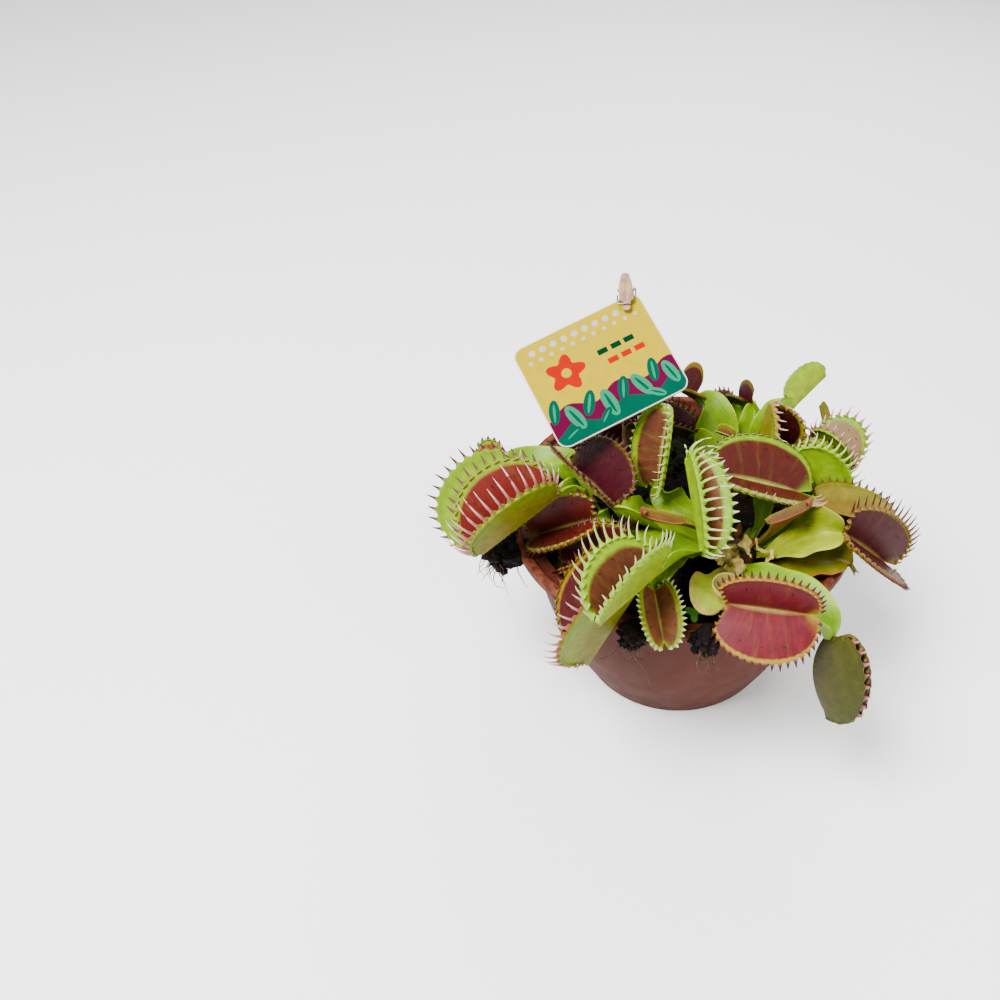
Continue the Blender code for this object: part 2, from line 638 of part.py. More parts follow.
def main():
    clear_scene()
    parts = collection("potted_venus_flytrap")
    tools = collection("cutters")
    looks = {name: material(name, *values) for name, values in LOOKS.items()}
    make_pot(parts, tools, looks["terracotta_plastic"])
    soil = turned("soil", soil_profile(), SOIL_STEPS, parts, looks["dark_soil"])
    make_tag(parts, tools, soil, looks)
    for name, (azimuth, reach, height, size) in CRUMBS.items():
        make_crumb(name, azimuth, reach, height, size, parts, tools, looks["dark_soil"])
    make_stalk(parts, looks["dry_stalk"])
    make_seedling(parts, looks["leaf_lime"])
    for name, (centre, radius) in CROWNS.items():
        make_crown(f"crown_{name}", centre, radius, parts, looks["leaf_crown"])
    for f in LEAVES:
        make_leaf(f, parts, looks["leaf_" + f["look"]])


main()
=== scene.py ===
"""Looks for the potted venus flytrap: leaves with toothed traps, damp peat, a moulded pot and a
printed card on a peg and stick.

Lengths are millimetres and angles degrees until a mesh is made; +Z is up and -Y is the front. The
card's body, peg, spring, stick, cut stalk and seedling are the frame's own nodes. The sizes of the
pot, soil, crowns and card repeat the solids'. Each leaf is a surface worked out from one row.
"""
from types import SimpleNamespace

import bpy
import numpy as np
from numpy import arctan2, array, clip, concatenate, cos, exp, hypot, linspace, maximum
from numpy import pi, radians, sin, sqrt, stack
from mathutils import Euler, Matrix, Vector


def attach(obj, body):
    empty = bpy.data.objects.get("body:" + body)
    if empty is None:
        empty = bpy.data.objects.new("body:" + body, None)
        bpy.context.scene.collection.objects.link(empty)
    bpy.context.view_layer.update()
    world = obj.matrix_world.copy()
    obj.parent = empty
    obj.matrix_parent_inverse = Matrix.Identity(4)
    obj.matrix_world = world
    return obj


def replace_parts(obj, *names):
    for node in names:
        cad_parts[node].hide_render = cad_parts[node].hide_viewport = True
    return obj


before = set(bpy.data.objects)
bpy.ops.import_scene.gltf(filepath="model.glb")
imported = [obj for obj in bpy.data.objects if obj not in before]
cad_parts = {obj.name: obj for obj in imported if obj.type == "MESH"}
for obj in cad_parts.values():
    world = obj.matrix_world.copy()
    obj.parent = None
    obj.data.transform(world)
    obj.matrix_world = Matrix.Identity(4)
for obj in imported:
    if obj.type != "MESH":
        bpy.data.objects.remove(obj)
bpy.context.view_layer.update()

MM = 0.001
GAP = 0.3
PLANT = "plant_and_pot"

# ---- colours: strength of hue, level, spread of tones, red added to greens, the print's level ----
RICHNESS = 1.12
DEPTH = 0.56
CONTRAST = 1.32
WARMTH = 0.28
PRINT_LEVEL = 0.6

# ---- sizes shared with the solids ----
RIM_RADIUS = 50.0
POT_HEIGHT = 60.0
BASE_RADIUS = 31.0
LIP_HEIGHT = 3.0
LIP_WIDTH = 2.5
SHOULDER_RADIUS = 44.5
WALL = 1.3
FLOOR = 1.6
WALL_BOW = 3.2
DRAIN_COUNT = 6
DRAIN_RADIUS = 3.0
DRAIN_CIRCLE = 20.0
SOIL_TOP = 53.0
SOIL_EDGE = 51.0
CROWNS = {"front": ((15.0, -15.0), 6.0), "rear": ((17.0, 13.0), 5.0), "left": ((-13.0, -6.0), 5.0)}
NECK = 0.9
NECK_COSINE = 0.35
END_POWER = 0.7
GUTTER_FOLD = 14
YOUNG_FOLD = 32
CARD_CENTRE = (-25.2, 11.3, 95.5)
CARD_WIDTH = 38.7
CARD_HEIGHT = 32.8
CARD_THICKNESS = 0.6
CARD_CORNER = 3.0
CARD_LEAN = 29.7
CARD_TURN = -7.5
CARD_SPIN = 38.3

# ---- loose peat: a heap against the left wall, and counts of small pieces ----
HEAP_RISE = 4.5
HEAP_TURN = 208
HEAP_SPAN = 34
CLODS = 520
FIBRES = 150
SPILL_CLODS = 26
SPILL_DRIPS = 14
# moss: azimuth, radius, spread, number of tufts
MOSS = [(205, 36, 6, 110), (232, 40, 5, 70), (300, 40, 4, 40), (150, 37, 5, 60)]
# spilled peat: azimuth, reach, height, size, number of bare roots
SPILLS = {
    "soil_crumb_left": (205, 52.0, 57, 5.5, 26),
    "soil_crumb_front_left": (258, 51.0, 59, 3.4, 8),
    "soil_crumb_front_right": (279, 50.5, 59, 3.6, 7),
}
# torn dry leaf ends: place, width, height, turn
DRY_BITS = [
    (12, -24, 63.5, 6, 5, 20), (17, -22, 64.5, 5, 4, 80), (21, -20, 63, 4.5, 5, 140),
    (9, -22, 62.5, 5, 4, 200), (24, -24, 61.5, 5, 4, 260), (15, -27, 62, 4, 5, 310),
]
# card print: side of a cell, then drops as centre, half length and tilt
PRINT_CELL = 0.14
DROPS = [
    (-16.5, -5.5, 3.6, 70), (-12.0, -9.5, 4.2, 105), (-7.0, -7.5, 3.8, 60), (-2.0, -10.0, 4.4, 95),
    (3.0, -8.0, 3.6, 65), (8.0, -9.5, 4.2, 110), (12.5, -7.0, 3.6, 75), (16.5, -9.8, 3.8, 100),
    (-4.5, -13.0, 2.6, 40), (10.5, -13.4, 2.6, 140), (-14.5, -13.4, 2.6, 20),
]

# ---- grid of a leaf: columns from midrib to margin, rows of the petiole, rows per tooth ----
HALF_COLUMNS = 15
PETIOLE_ROWS = 32
ROWS_PER_TOOTH = 5
TOOTH_RINGS = 7
TOOTH_SIDES = 6

# ---- camera and light ----
CAMERA_TARGET = (0.7, 0.0, 60.0)
CAMERA_RANGE = 270.0
CAMERA_PITCH = 43.0
CAMERA_ROLL = 4.0
CAMERA_LENS = 33.7
CAMERA_SHIFT = -0.187
TOWARDS_VIEW = (0, -cos(radians(CAMERA_PITCH)), sin(radians(CAMERA_PITCH)))
WORLD_LEVEL = 0.42
FLOOR_HALF = 1.5
# lamps: place in metres, side in metres, watts
LAMPS = {
    "key": ((-0.3, -0.25, 0.8), 0.4, 25.0),
    "fill": ((0.55, -0.3, 0.5), 0.6, 5.0),
    "back": ((0.1, 0.6, 0.6), 0.5, 6.0),
}

# ---- leaves: long, lean and tooth each name the lobe nearer the front and top, then the other; a
# positive lean turns the teeth towards the facing lobe; rim is the pale margin's width ----
RED, PINK, WHITE = "dark_red", "pink", "white"
COLUMNS = ("name", "crown", "leave", "base", "heading", "pitch", "roll", "length", "depth",
           "opening", "width", "rise", "up", "teeth", "skin")
USUAL = dict(curl=10, spread=0.25, bow=0, follow=0.5, face=(0, 0, 1), tuck=0, blade="lime",
             long=(4.2, 3.0), lean=(25, 0), tooth=(RED, RED), rim=1.3, ruffle=0.5)


def leaf(*places, **own):
    """One leaf: its values by column, then what differs from the usual ones. reach spreads the
    trap's far half, by as much as its near half if not given."""
    row = USUAL | dict(zip(COLUMNS, places)) | own
    return SimpleNamespace(**({"reach": row["spread"]} | row))


LEAVES = [
    leaf("big_red_left", "left", 210, (-33, -18, 76), -145, -25, -10, 25.5, 17, 65, 9, 45, 2.4, 19,
         "brick", curl=9, spread=0.1, long=(8, 3.6), lean=(60, -10), tooth=(PINK, RED), rim=1.6),
    leaf("green_far_left", "left", 160, (-45, -6, 70), -140, -40, -80, 23.5, 16, 55, 9, 55, 2.4, 17,
         "pale_green", long=(3.6, 4.4), lean=(-5, 10), tooth=(RED, PINK)),
    leaf("small_far_left", "left", 120, (-55, 11, 60), -180, -10, 10, 6.5, 7, 80, 11, 60, 4, 9,
         "peach", long=(1.4, 1.4)),
    leaf("red_inner_left", "left", 240, (-23, -19, 69), 175, -30, 35, 18.5, 10.5, 85, 6, 40, 4, 17,
         "russet", spread=0.28, long=(3.0, 2.4), lean=(10, -10), rim=0.9),
    leaf("dark_red_left", "left", 260, (-14, -26, 65), -180, -30, 10, 17.5, 9.5, 75, 6, 15, 4, 17,
         "wine", long=(3.0, 2.6), lean=(10, -10), rim=0.8),
    leaf("long_front_left", "left", 280, (-8, -43, 75), -145, -55, -30, 30.5, 18, 85, 8, 45, 4, 20,
         "freckled", reach=-0.05, spread=0.12, long=(4.5, 3.4), lean=(40, -10), tooth=(PINK, RED),
         rim=1.2),
    leaf("maroon_under_card", "front", 165, (-18, -20, 74), 125, -10, -5, 24.5, 13.5, 75, 13, 25,
         1.6, 19, "maroon", long=(3.6, 2.2), lean=(20, 0), rim=0.7),
    leaf("young_left", "front", 178, (-9.5, -26.8, 80.8), -7, -4, 180, 9.2, 2.5, 18, 5, 65, 4, 0,
         "young", curl=0, follow=0, tuck=2.4, blade="young", ruffle=0),
    leaf("lime_front_left", "front", 205, (-5, -44, 77), -120, 10, -15, 24, 13.5, 55, 11, 50, 4, 17,
         "apricot", spread=0.1, long=(4.6, 5.6), lean=(20, 25), tooth=(WHITE, WHITE), rim=2.6),
    leaf("small_front", "front", 195, (-6, -41, 67), -75, -20, 5, 14, 6, 115, 9, 20, 2.4, 17,
         "amber", spread=0.3, long=(1.5, 1.5), lean=(10, 10), tooth=(WHITE, WHITE), rim=1.1),
    leaf("wide_red_front", "front", 260, (12, -44, 67), -5, 0, -65, 21, 13.5, 110, 14, 15, 3.2, 22,
         "crimson", blade="withered", long=(2.6, 2.4), lean=(-5, -15), rim=0.8, ruffle=0.9),
    leaf("hanging_front_right", "front", 280, (39, -45, 57), -80, -65, 45, 19.5, 15, 10, 15, 40, 4,
         13, "olive", curl=-22, spread=0.31, bow=3, long=(2.8, 2.8), lean=(55, 55),
         tooth=(PINK, RED)),
    leaf("red_right", "front", 350, (43, -17, 68), 20, -45, -40, 22.5, 12.5, 85, 17, 30, 2.4, 21,
         "wine", spread=0.38, blade="yellow_green", long=(3.4, 5.0), lean=(10, -10), rim=0.7),
    leaf("curled_right", "front", 320, (46, -22, 61), -50, -30, -15, 2.5, 0.5, 125, 13, 10, 0.8, 0,
         "olive", blade="olive", ruffle=0.9),
    leaf("young_right", "front", 14, (32, -19, 80.5), -149, -5, 180, 11.3, 2.7, 18, 6, 55, 4, 0,
         "young", curl=0, follow=0, tuck=2.4, blade="young", ruffle=0),
    leaf("green_centre_left", "front", 150, (-7.6, -7, 71.6), 80, 62, 44, 19.5, 9.5, 120, 9, 70, 4,
         16, "apricot", long=(3.6, 1.2), lean=(55, 0), tooth=(WHITE, WHITE), rim=1.9),
    leaf("lime_centre", "front", 125, (0, -11, 84), -75, -30, 30, 24, 10.2, 55, 9, 50, 2.4, 17,
         "lime", spread=0.15, long=(7.0, 2.2), lean=(65, 10), tooth=(WHITE, WHITE), rim=2.2),
    leaf("red_centre", "front", 105, (9, -9, 79), 10, -20, -10, 24.5, 13, 115, 8, 75, 1.6, 21,
         "rust", spread=0.27, long=(4.2, 1.3), lean=(35, -20), tooth=(PINK, RED), rim=1.6),
    leaf("lime_back_right", "front", 45, (27, 5, 75), -10, -50, 25, 23.5, 13, 30, 8, 35, 3.2, 18,
         "lime", spread=0, long=(4.6, 2.4), lean=(45, 0), tooth=(WHITE, RED)),
    leaf("olive_right", "front", 20, (37, -5, 66), -10, -5, 85, 19, 8.5, 45, 8, 35, 0.8, 16,
         "olive_red", spread=0.27, long=(2.4, 2.8), lean=(0, 0)),
    leaf("dark_behind_card", "rear", 175, (0, 22, 66), 180, 5, -5, 17, 9.3, 75, 10, 30, 4, 17,
         "maroon", long=(2.8, 2.4), lean=(15, -5), rim=0.8),
    leaf("hairpin_back", "rear", 230, (13, 6, 79), 150, -5, 25, 5, 4, 35, 4, 65, 2.4, 0, "young",
         blade="young", ruffle=0),
    leaf("upright_back_left", "rear", 115, (1, 32, 73), 190, 35, 5, 6.5, 10, 95, 14, 40, 4, 0,
         "wine", face=(0, -1, 0.6), rim=1.6),
    leaf("serrated_back", "rear", 120, (13, 44, 63), -165, -5, -5, 6.5, 4.6, 85, 9, 10, 0.8, 9,
         "maroon", face=(0, -1, 0.6), long=(1.6, 1.6), rim=0.6),
    leaf("small_back", "rear", 90, (19, 37, 68), 130, -30, 15, 6.5, 7.7, 60, 9, 20, 0.8, 0,
         "maroon", face=(0, -1, 0.6)),
    leaf("tall_closed_back", "rear", 75, (31, 30, 75), 50, 15, 55, 14.5, 6.7, 5, 13, 25, 4, 11,
         "pale_green", curl=-18, spread=0.15, face=(0, -1, 0.8), long=(1.2, 1.2), lean=(50, 50),
         tooth=(WHITE, WHITE)),
    leaf("arching_back", "rear", 5, (20.5, 16.5, 72.5), 0, 80, -130, 11.6, 12.5, 55, 7, 60, 4, 12,
         "dusk", long=(3.6, 4.4), lean=(50, 50), tooth=(PINK, PINK)),
    leaf("green_back_right", "rear", -15, (36, 18, 70), -35, -15, 15, 13.2, 13.2, 70, 9, 10, 3.2,
         14, "blush", spread=0.2, long=(3.6, 3.6), lean=(30, 10), tooth=(PINK, PINK), rim=1.8),
    leaf("purple_back_right", "rear", 20, (41, 30, 68), 105, 30, -60, 6, 2.2, 30, 10, 15, 0.8, 0,
         "maroon", curl=0),
]

# ---- colours as rrggbb. Traps: inside and its rim, outside and its flush ----
SKINS = {
    "brick": "8c2e26 a4b42c 9cb040 a97a48",
    "russet": "74302a 9c9434 98a83c 946c38",
    "rust": "6c2814 94c01c 98bc2c 94883a",
    "wine": "661a24 a08a34 989a40 8c6038",
    "freckled": "661a24 a08a34 94ac30 905c34",
    "crimson": "86283a c4a84c b0a84c a46444",
    "maroon": "581c2c 7c6a2c 8c8c38 6c4c2c",
    "apricot": "825440 a4cc2c a4c430 a0ac44",
    "amber": "946448 b0c03c a4b43c a88c44",
    "peach": "b06c48 98c03c 98bc38 a0a44c",
    "lime": "8c6438 a4d020 9ccc20 a8c430",
    "pale_green": "98a848 a0c03c 9cc038 a4ac4c",
    "blush": "9c8460 94bc3c 98c440 a8a060",
    "dusk": "4a1c1c a8a048 a0ac44 947444",
    "olive": "6c201c 807630 60642e 665830",
    "olive_red": "7c2c1e a09038 98903c 946c38",
    "young": "b08468 a8a048 a87458 a0a44c",
}
# petiole: upper face, along its edge, underside
BLADES = {
    "lime": "86b82c a4cc44 90b840",
    "yellow_green": "b4c848 ccd068 a4b850",
    "withered": "b0c454 d4c480 b0ac60",
    "olive": "8c8c34 a88048 7c7834",
    "young": "98b440 b07c64 a86450",
}
# teeth: foot, tip
TEETH = {
    "white": "b4cc54 eff0c4",
    "pink": "b85068 ecc8c0",
    "dark_red": "7c1c28 4c0c14",
}


# ---- small helpers ----

def colour(code):
    """An rrggbb display colour as linear red, green and blue, richer, deeper and with more
    contrast, because the lamps are bright and the view softens strong colours."""
    shown = array([int(code[i:i + 2], 16) for i in (0, 2, 4)]) / 255
    linear = np.where(shown <= 0.04045, shown / 12.92, ((shown + 0.055) / 1.055) ** 2.4)
    grey = linear @ [0.21, 0.72, 0.07]
    return clip(grey + (linear - grey) * RICHNESS, 0.001, 1) ** CONTRAST * DEPTH


def living(code):
    """A leaf's colour, with its greens turned a little towards yellow."""
    tone = colour(code)
    tone[0] += WARMTH * max(tone[1] - tone[0], 0)
    return tone


def opaque(tone):
    """Red, green and blue rows with a fourth value of 1."""
    return concatenate([tone, np.ones(tone.shape[:-1] + (1,))], -1)


PRINT = {name: colour(code) * PRINT_LEVEL for name, code in (
    ("yellow", "ffe404"), ("plum", "8e2c62"), ("teal", "128470"), ("mint", "58c49a"),
    ("orange", "ea4428"), ("white", "fffaf0"), ("deep", "1c6450"))}


def unit(v):
    v = np.asarray(v, float)
    return v / maximum(np.linalg.norm(v, axis=-1, keepdims=True), 1e-12)


def smooth(low, high, x):
    """0 below low, 1 above high and an S-curve between."""
    t = clip((x - low) / (high - low), 0, 1)
    return t * t * (3 - 2 * t)


def around(radius, turn, height=0.0):
    """Places at a radius from +Z, at an angle in radians and at a height."""
    return stack(np.broadcast_arrays(radius * cos(turn), radius * sin(turn), height), -1)


def full_turn(steps):
    return linspace(0, 2 * pi, steps, endpoint=False)


def lattice(points, seed):
    """Value noise in 0..1: random values on whole-number places, blended smoothly between them."""
    cell = np.floor(points).astype(np.int64)
    part = points - cell
    part = part * part * (3 - 2 * part)
    total = 0
    for corner in range(8):
        step = array([corner & 1, corner >> 1 & 1, corner >> 2])
        mixed = np.bitwise_xor.reduce((cell + step) * [73856093, 19349663, 83492791], axis=-1)
        mixed = (mixed ^ (seed * 2654435761)) & 0x7FFFFFFF
        mixed = (mixed * 1103515245 + 12345) & 0x7FFFFFFF
        mixed = ((mixed >> 7) ^ mixed) * 1103515245 + 12345 & 0x7FFFFFFF
        value = (mixed % 65521) / 65521
        total = total + value * np.prod(np.where(step == 1, part, 1 - part), axis=-1)
    return total


def ripple(points, size, seed, octaves):
    """Several layers of lattice noise, each half the size and half the weight; about -1..1."""
    total, weight = 0, 1.0
    for k in range(octaves):
        total = total + weight * (2 * lattice(points / size * 2 ** k, seed + k) - 1)
        weight /= 2
    return total


def grid_quads(rows, columns, closed=False):
    """Faces of a grid of points in row order; closed joins the last column to the first."""
    place = np.arange(rows * columns).reshape(rows, columns)
    if closed:
        place = np.column_stack([place, place[:, 0]])
    corners = place[:-1, :-1], place[:-1, 1:], place[1:, 1:], place[1:, :-1]
    return stack(corners, -1).reshape(-1, 4)


def capped(grid, first, last):
    """A closed surface: rows of points that run round, and a fan to one point at each end."""
    rows, steps = grid.shape[:2]
    tip = rows * steps
    start = tip - steps
    faces = [tuple(q) for q in grid_quads(rows, steps, closed=True)]
    faces += [(tip, (k + 1) % steps, k) for k in range(steps)]
    faces += [(tip + 1, start + k, start + (k + 1) % steps) for k in range(steps)]
    return concatenate([grid.reshape(-1, 3), [first, last]]), faces


def turned_over(faces):
    return [face[::-1] for face in faces]


def shell(rows, columns, edge):
    """Faces of a thin body whose rows run round it: inner face, then edge points, outer face in
    reverse and edge points. Gives the faces round it and those across its two ends."""
    size = 2 * (columns + edge)

    def cap(start):
        last = start + size - 1 - edge
        strip = [(start + c, start + c + 1, last - c - 1, last - c) for c in range(columns - 1)]
        if edge:
            strip += [tuple(range(start + columns - 1, start + columns + 2)),
                      (last, last + 1, start)]
        return strip

    return grid_quads(rows, size, closed=True), turned_over(cap(0)), cap((rows - 1) * size)


def shown(name, data):
    """A new object in the scene."""
    made = bpy.data.objects.new(name, data)
    bpy.context.scene.collection.objects.link(made)
    return made


def make_piece(name, points, faces, looks, slots=None, values=None, sharp=50):
    """A mesh object from points in millimetres and faces; values are rows of one number, of
    three as a vector or of four as a colour for each point."""
    mesh = bpy.data.meshes.new(name)
    mesh.from_pydata((np.asarray(points) * MM).tolist(), [], faces)
    for look in looks:
        mesh.materials.append(look)
    if slots is not None:
        mesh.polygons.foreach_set("material_index", np.asarray(slots, dtype=np.int32))
    for key, data in (values or {}).items():
        data = np.asarray(data, dtype=np.float32)
        kind, field = {1: ("FLOAT", "value"), 3: ("FLOAT_VECTOR", "vector"),
                       4: ("FLOAT_COLOR", "color")}[data[:1].size]
        mesh.attributes.new(key, kind, "POINT").data.foreach_set(field, data.ravel())
    mesh.shade_smooth()
    mesh.set_sharp_from_angle(angle=radians(sharp))
    mesh.update()
    piece = shown(name, mesh)
    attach(piece, PLANT)
    return piece


class Parts:
    """Collects points, faces, slots and attributes of several small surfaces into one mesh."""

    def __init__(self):
        self.points, self.faces, self.slots, self.values = [], [], [], {}
        self.count = 0

    def add(self, points, faces, slot=0, **values):
        """slot is one number or one per face; each value is one row or one per point."""
        self.faces += [tuple(i + self.count for i in face) for face in faces]
        self.slots += [slot] * len(faces) if np.isscalar(slot) else list(slot)
        self.points.append(points)
        for key, data in values.items():
            data = np.asarray(data, float)
            if data.ndim == 0 or len(data) != len(points):
                data = np.broadcast_to(data, (len(points),) + data.shape)
            self.values.setdefault(key, []).append(data)
        self.count += len(points)

    def make(self, name, looks, sharp):
        values = {key: concatenate(rows) for key, rows in self.values.items()}
        return make_piece(name, concatenate(self.points), self.faces, looks, self.slots,
                          values, sharp)


def tube(path, radii, sides, flat=(0.3, 0.2, 0.93), wide=1.0):
    """A tube of rings around a path, pinched to a point at both ends. The rings are wider by the
    factor wide across the direction flat than along it."""
    path = np.asarray(path, float)
    tangent = unit(np.gradient(path, axis=0))
    side = unit(np.cross(tangent, flat))
    over = np.cross(side, tangent)
    turn = full_turn(sides)[:, None]
    ring = cos(turn) * side[:, None] * wide + sin(turn) * over[:, None]
    return capped(path[:, None] + ring * radii[:, None, None], path[0], path[-1])


# ---- node materials ----

class Look:
    """A Principled material whose nodes are added one by one. A socket is given a number, a
    colour or another node's socket; its name has _ for a space, or i and its index."""

    def __init__(self, name, **sockets):
        self.material = bpy.data.materials.new(name)
        self.material.use_nodes = True
        self.tree = self.material.node_tree
        self.shader = self.tree.nodes["Principled BSDF"]
        self.set(**sockets)

    def set(self, **sockets):
        self.plug(self.shader, sockets)

    def plug(self, node, sockets):
        for key, value in sockets.items():
            index = int(key[1:]) if key[1:].isdigit() else key.replace("_", " ")
            socket = node.inputs[index]
            if isinstance(value, bpy.types.NodeSocket):
                self.tree.links.new(value, socket)
            else:
                socket.default_value = (*colour(value), 1) if isinstance(value, str) else value

    def node(self, kind, out=0, props=None, **sockets):
        made = self.tree.nodes.new("ShaderNode" + kind)
        for key, value in (props or {}).items():
            setattr(made, key, value)
        self.plug(made, sockets)
        return made.outputs[out]

    def place(self):
        """Object coordinates, in metres."""
        return self.node("TexCoord", out=3)

    def attribute(self, name, out=0):
        """A point attribute: as a colour from output 0, a vector from 1 or a number from 2."""
        return self.node("Attribute", out, {"attribute_name": name})

    def math(self, operation, a, b, c=0.0):
        return self.node("Math", props={"operation": operation}, i0=a, i1=b, i2=c)

    def between(self, value, low, high, to_low=0.0, to_high=1.0):
        """Goes smoothly from to_low to to_high as the value goes from low to high."""
        return self.node("MapRange", props={"interpolation_type": "SMOOTHSTEP"}, i0=value, i1=low,
                         i2=high, i3=to_low, i4=to_high)

    def mix(self, share, a, b, blend="MIX"):
        return self.node("Mix", 2, {"data_type": "RGBA", "blend_type": blend},
                         i0=share, i6=a, i7=b)

    def blend(self, pattern, low, high, a, b, most=1.0):
        """Colour a, turning to b by at most the share most as the pattern goes from low to high."""
        return self.mix(self.between(pattern, low, high, 0.0, most), a, b)

    def faded(self, patch, amount, low, high):
        """tone_a, turning to tone_b with the fade attribute along a line that patch breaks up."""
        fade = self.math("MULTIPLY_ADD", self.math("SUBTRACT", patch, 0.5), amount,
                         self.attribute("fade", 2))
        return self.blend(fade, low, high, self.attribute("tone_a"), self.attribute("tone_b"))

    def noise(self, scale, detail, where=None, stretch=None):
        spot = where or self.place()
        if stretch:
            spot = self.node("Mapping", Vector=spot, Scale=stretch)
        return self.node("TexNoise", Vector=spot, Scale=scale, Detail=detail, Roughness=0.55)

    def cells(self, scale):
        return self.node("TexVoronoi", Vector=self.place(), Scale=scale)

    def bump(self, height, strength, distance, **under):
        return self.node("Bump", Height=height, Strength=strength, Distance=distance, **under)

    def done(self, base, height, strength, distance, **under):
        """Sets the colour and the bump, over another bump if one is given as Normal."""
        self.set(Base_Color=base, Normal=self.bump(height, strength, distance, **under))
        return self.material


def leaf_look(name, rough, grain, grain_depth, coat, vein_scale, vein_depth, mottle):
    """Living leaf: tone_a turns to tone_b with the fade attribute, its line broken up by noise;
    tone_c follows the rib attribute; veins run along the flow attribute."""
    look = Look(name, Roughness=rough, Coat_Weight=coat, Coat_Roughness=0.3,
                Specular_IOR_Level=0.12, Subsurface_Weight=0.12, Subsurface_Scale=0.0015,
                Subsurface_Radius=(0.6, 1.0, 0.3))
    base = look.faded(look.noise(260, 4), 0.35, 0.12, 0.88)
    fine = look.noise(1500, 2)
    base = look.mix(look.attribute("rib", 2), base, look.attribute("tone_c"))
    shade = look.between(look.noise(420, 5), 0.3, 0.75, 1 - mottle, 1 + mottle * 0.7)
    base = look.mix(1.0, base, shade, "MULTIPLY")
    vein = look.noise(1.0, 2, where=look.attribute("flow", 1), stretch=vein_scale)
    veined = look.mix(0.5, base, look.attribute("tone_b"))
    base = look.blend(vein, 0.5, 0.8, base, veined, 0.22)
    height = look.math("MULTIPLY_ADD", fine, 0.5, look.cells(grain))
    return look.done(base, height, grain_depth, 0.0001, Normal=look.bump(vein, vein_depth, 0.0003))


def tooth_look():
    """Teeth and hairs: tone_a at the foot, tone_b at the tip."""
    look = Look("trap_teeth", Roughness=0.45, Specular_IOR_Level=0.3, Subsurface_Weight=0.2,
                Subsurface_Scale=0.001, Subsurface_Radius=(0.8, 0.8, 0.5))
    patch = look.noise(900, 3)
    return look.done(look.faded(patch, 0.3, 0.05, 0.9), patch, 0.15, 0.0001)


def soil_look(name, dark, light, moss=None):
    """Peat: near-black with brown crumbs and a few pale grains, and green patches of moss."""
    look = Look(name, Roughness=0.92, Specular_IOR_Level=0.15)
    crumb = look.cells(520)
    base = look.blend(look.noise(150, 6), 0.42, 0.75, dark, light)
    base = look.blend(look.noise(900, 4), 0.62, 0.75, base, "5a4230")
    if moss:
        base = look.blend(look.noise(55, 3), 0.5, 0.62, base, moss, 0.7)
    return look.done(base, look.math("MULTIPLY_ADD", look.noise(700, 6), 0.8, crumb), 0.8, 0.0007)


def pot_look():
    """Moulded red-brown plastic: faint cloudy tone, vertical streaks of painted sheen that also
    bump as rub marks, dust, a patchy painted highlight on the rim.
    """
    look = Look("terracotta_plastic", Specular_IOR_Level=0.08)
    cloud = look.noise(28, 4)
    # vertical streaks: their lighter colour is a painted sheen; the same noise bumps the surface as
    # rub marks
    sheen_and_rub = look.noise(90, 5, stretch=(1, 1, 0.12))
    base = look.blend(cloud, 0.3, 0.7, "6c4034", "78493b")
    base = look.blend(sheen_and_rub, 0.55, 0.8, base, "94685a", 0.15)
    height = look.node("SeparateXYZ", out=2, Vector=look.place())
    # painted highlight: the rim turns lighter towards its top, broken into patches by noise
    rim_highlight = look.math("MULTIPLY", look.between(height, 0.0565, 0.0592),
                     look.between(look.noise(330, 5), 0.35, 0.6, 0.0, 0.5))
    base = look.mix(rim_highlight, base, "ac7058")
    dirt = look.math("MULTIPLY", look.between(height, 0.036, 0.058),
                     look.between(look.noise(230, 6), 0.56, 0.68, 0.0, 0.75))
    base = look.mix(dirt, base, "2a1a14")
    look.set(Roughness=look.between(look.noise(160, 5), 0.3, 0.7, 0.58, 0.68))
    return look.done(base, look.noise(1800, 3), 0.12, 0.0001, Normal=look.bump(sheen_and_rub, 0.08, 0.0004))


def print_look():
    """Printed front of the card: the ink attribute, faintly uneven and without gloss."""
    look = Look("card_print", Roughness=0.75, Specular_IOR_Level=0.0)
    shade = look.between(look.noise(350, 4), 0.25, 0.8, 0.93, 1.05)
    base = look.mix(1.0, look.attribute("ink"), shade, "MULTIPLY")
    return look.done(base, look.noise(4000, 2), 0.05, 0.0001)


def grained(name, dark, light, scale, span, bump, detail=5, stretch=None, spot=None, **sockets):
    """Two tones blended by noise, with a bump from the same noise; spot is a third tone."""
    look = Look(name, **sockets)
    grain = look.noise(scale, detail, stretch=stretch)
    base = look.blend(grain, *span, dark, light)
    if spot:
        base = look.blend(look.noise(220, 4), 0.55, 0.8, base, spot, 0.5)
    return look.done(base, grain, *bump)


def plain_look(name, dark, light, scale, rough=0.6, depth=0.3):
    return grained(name, dark, light, scale, (0.3, 0.7), (depth, 0.0004), Roughness=rough,
                   Specular_IOR_Level=0.25)


# ---- leaves ----

def direction(heading, pitch):
    """Unit vector that points along a heading round +Z, raised by a pitch."""
    h, p = radians([heading, pitch])
    return array([cos(h) * cos(p), sin(h) * cos(p), sin(p)])


def trap_axes(f):
    """Unit vectors along the midrib, across the trap and out of its mouth."""
    h, r = radians([f.heading, f.roll])
    along = direction(f.heading, f.pitch)
    side = array([-sin(h), cos(h), 0.0])
    opening = cos(r) * np.cross(along, side) + sin(r) * side
    return along, np.cross(opening, along), opening


def rounded(across, soft=0.05):
    """Distance from the midrib, 0 to 1, with the crease at 0 rounded over."""
    return (sqrt(across ** 2 + soft ** 2) - soft) / (sqrt(1 + soft ** 2) - soft)


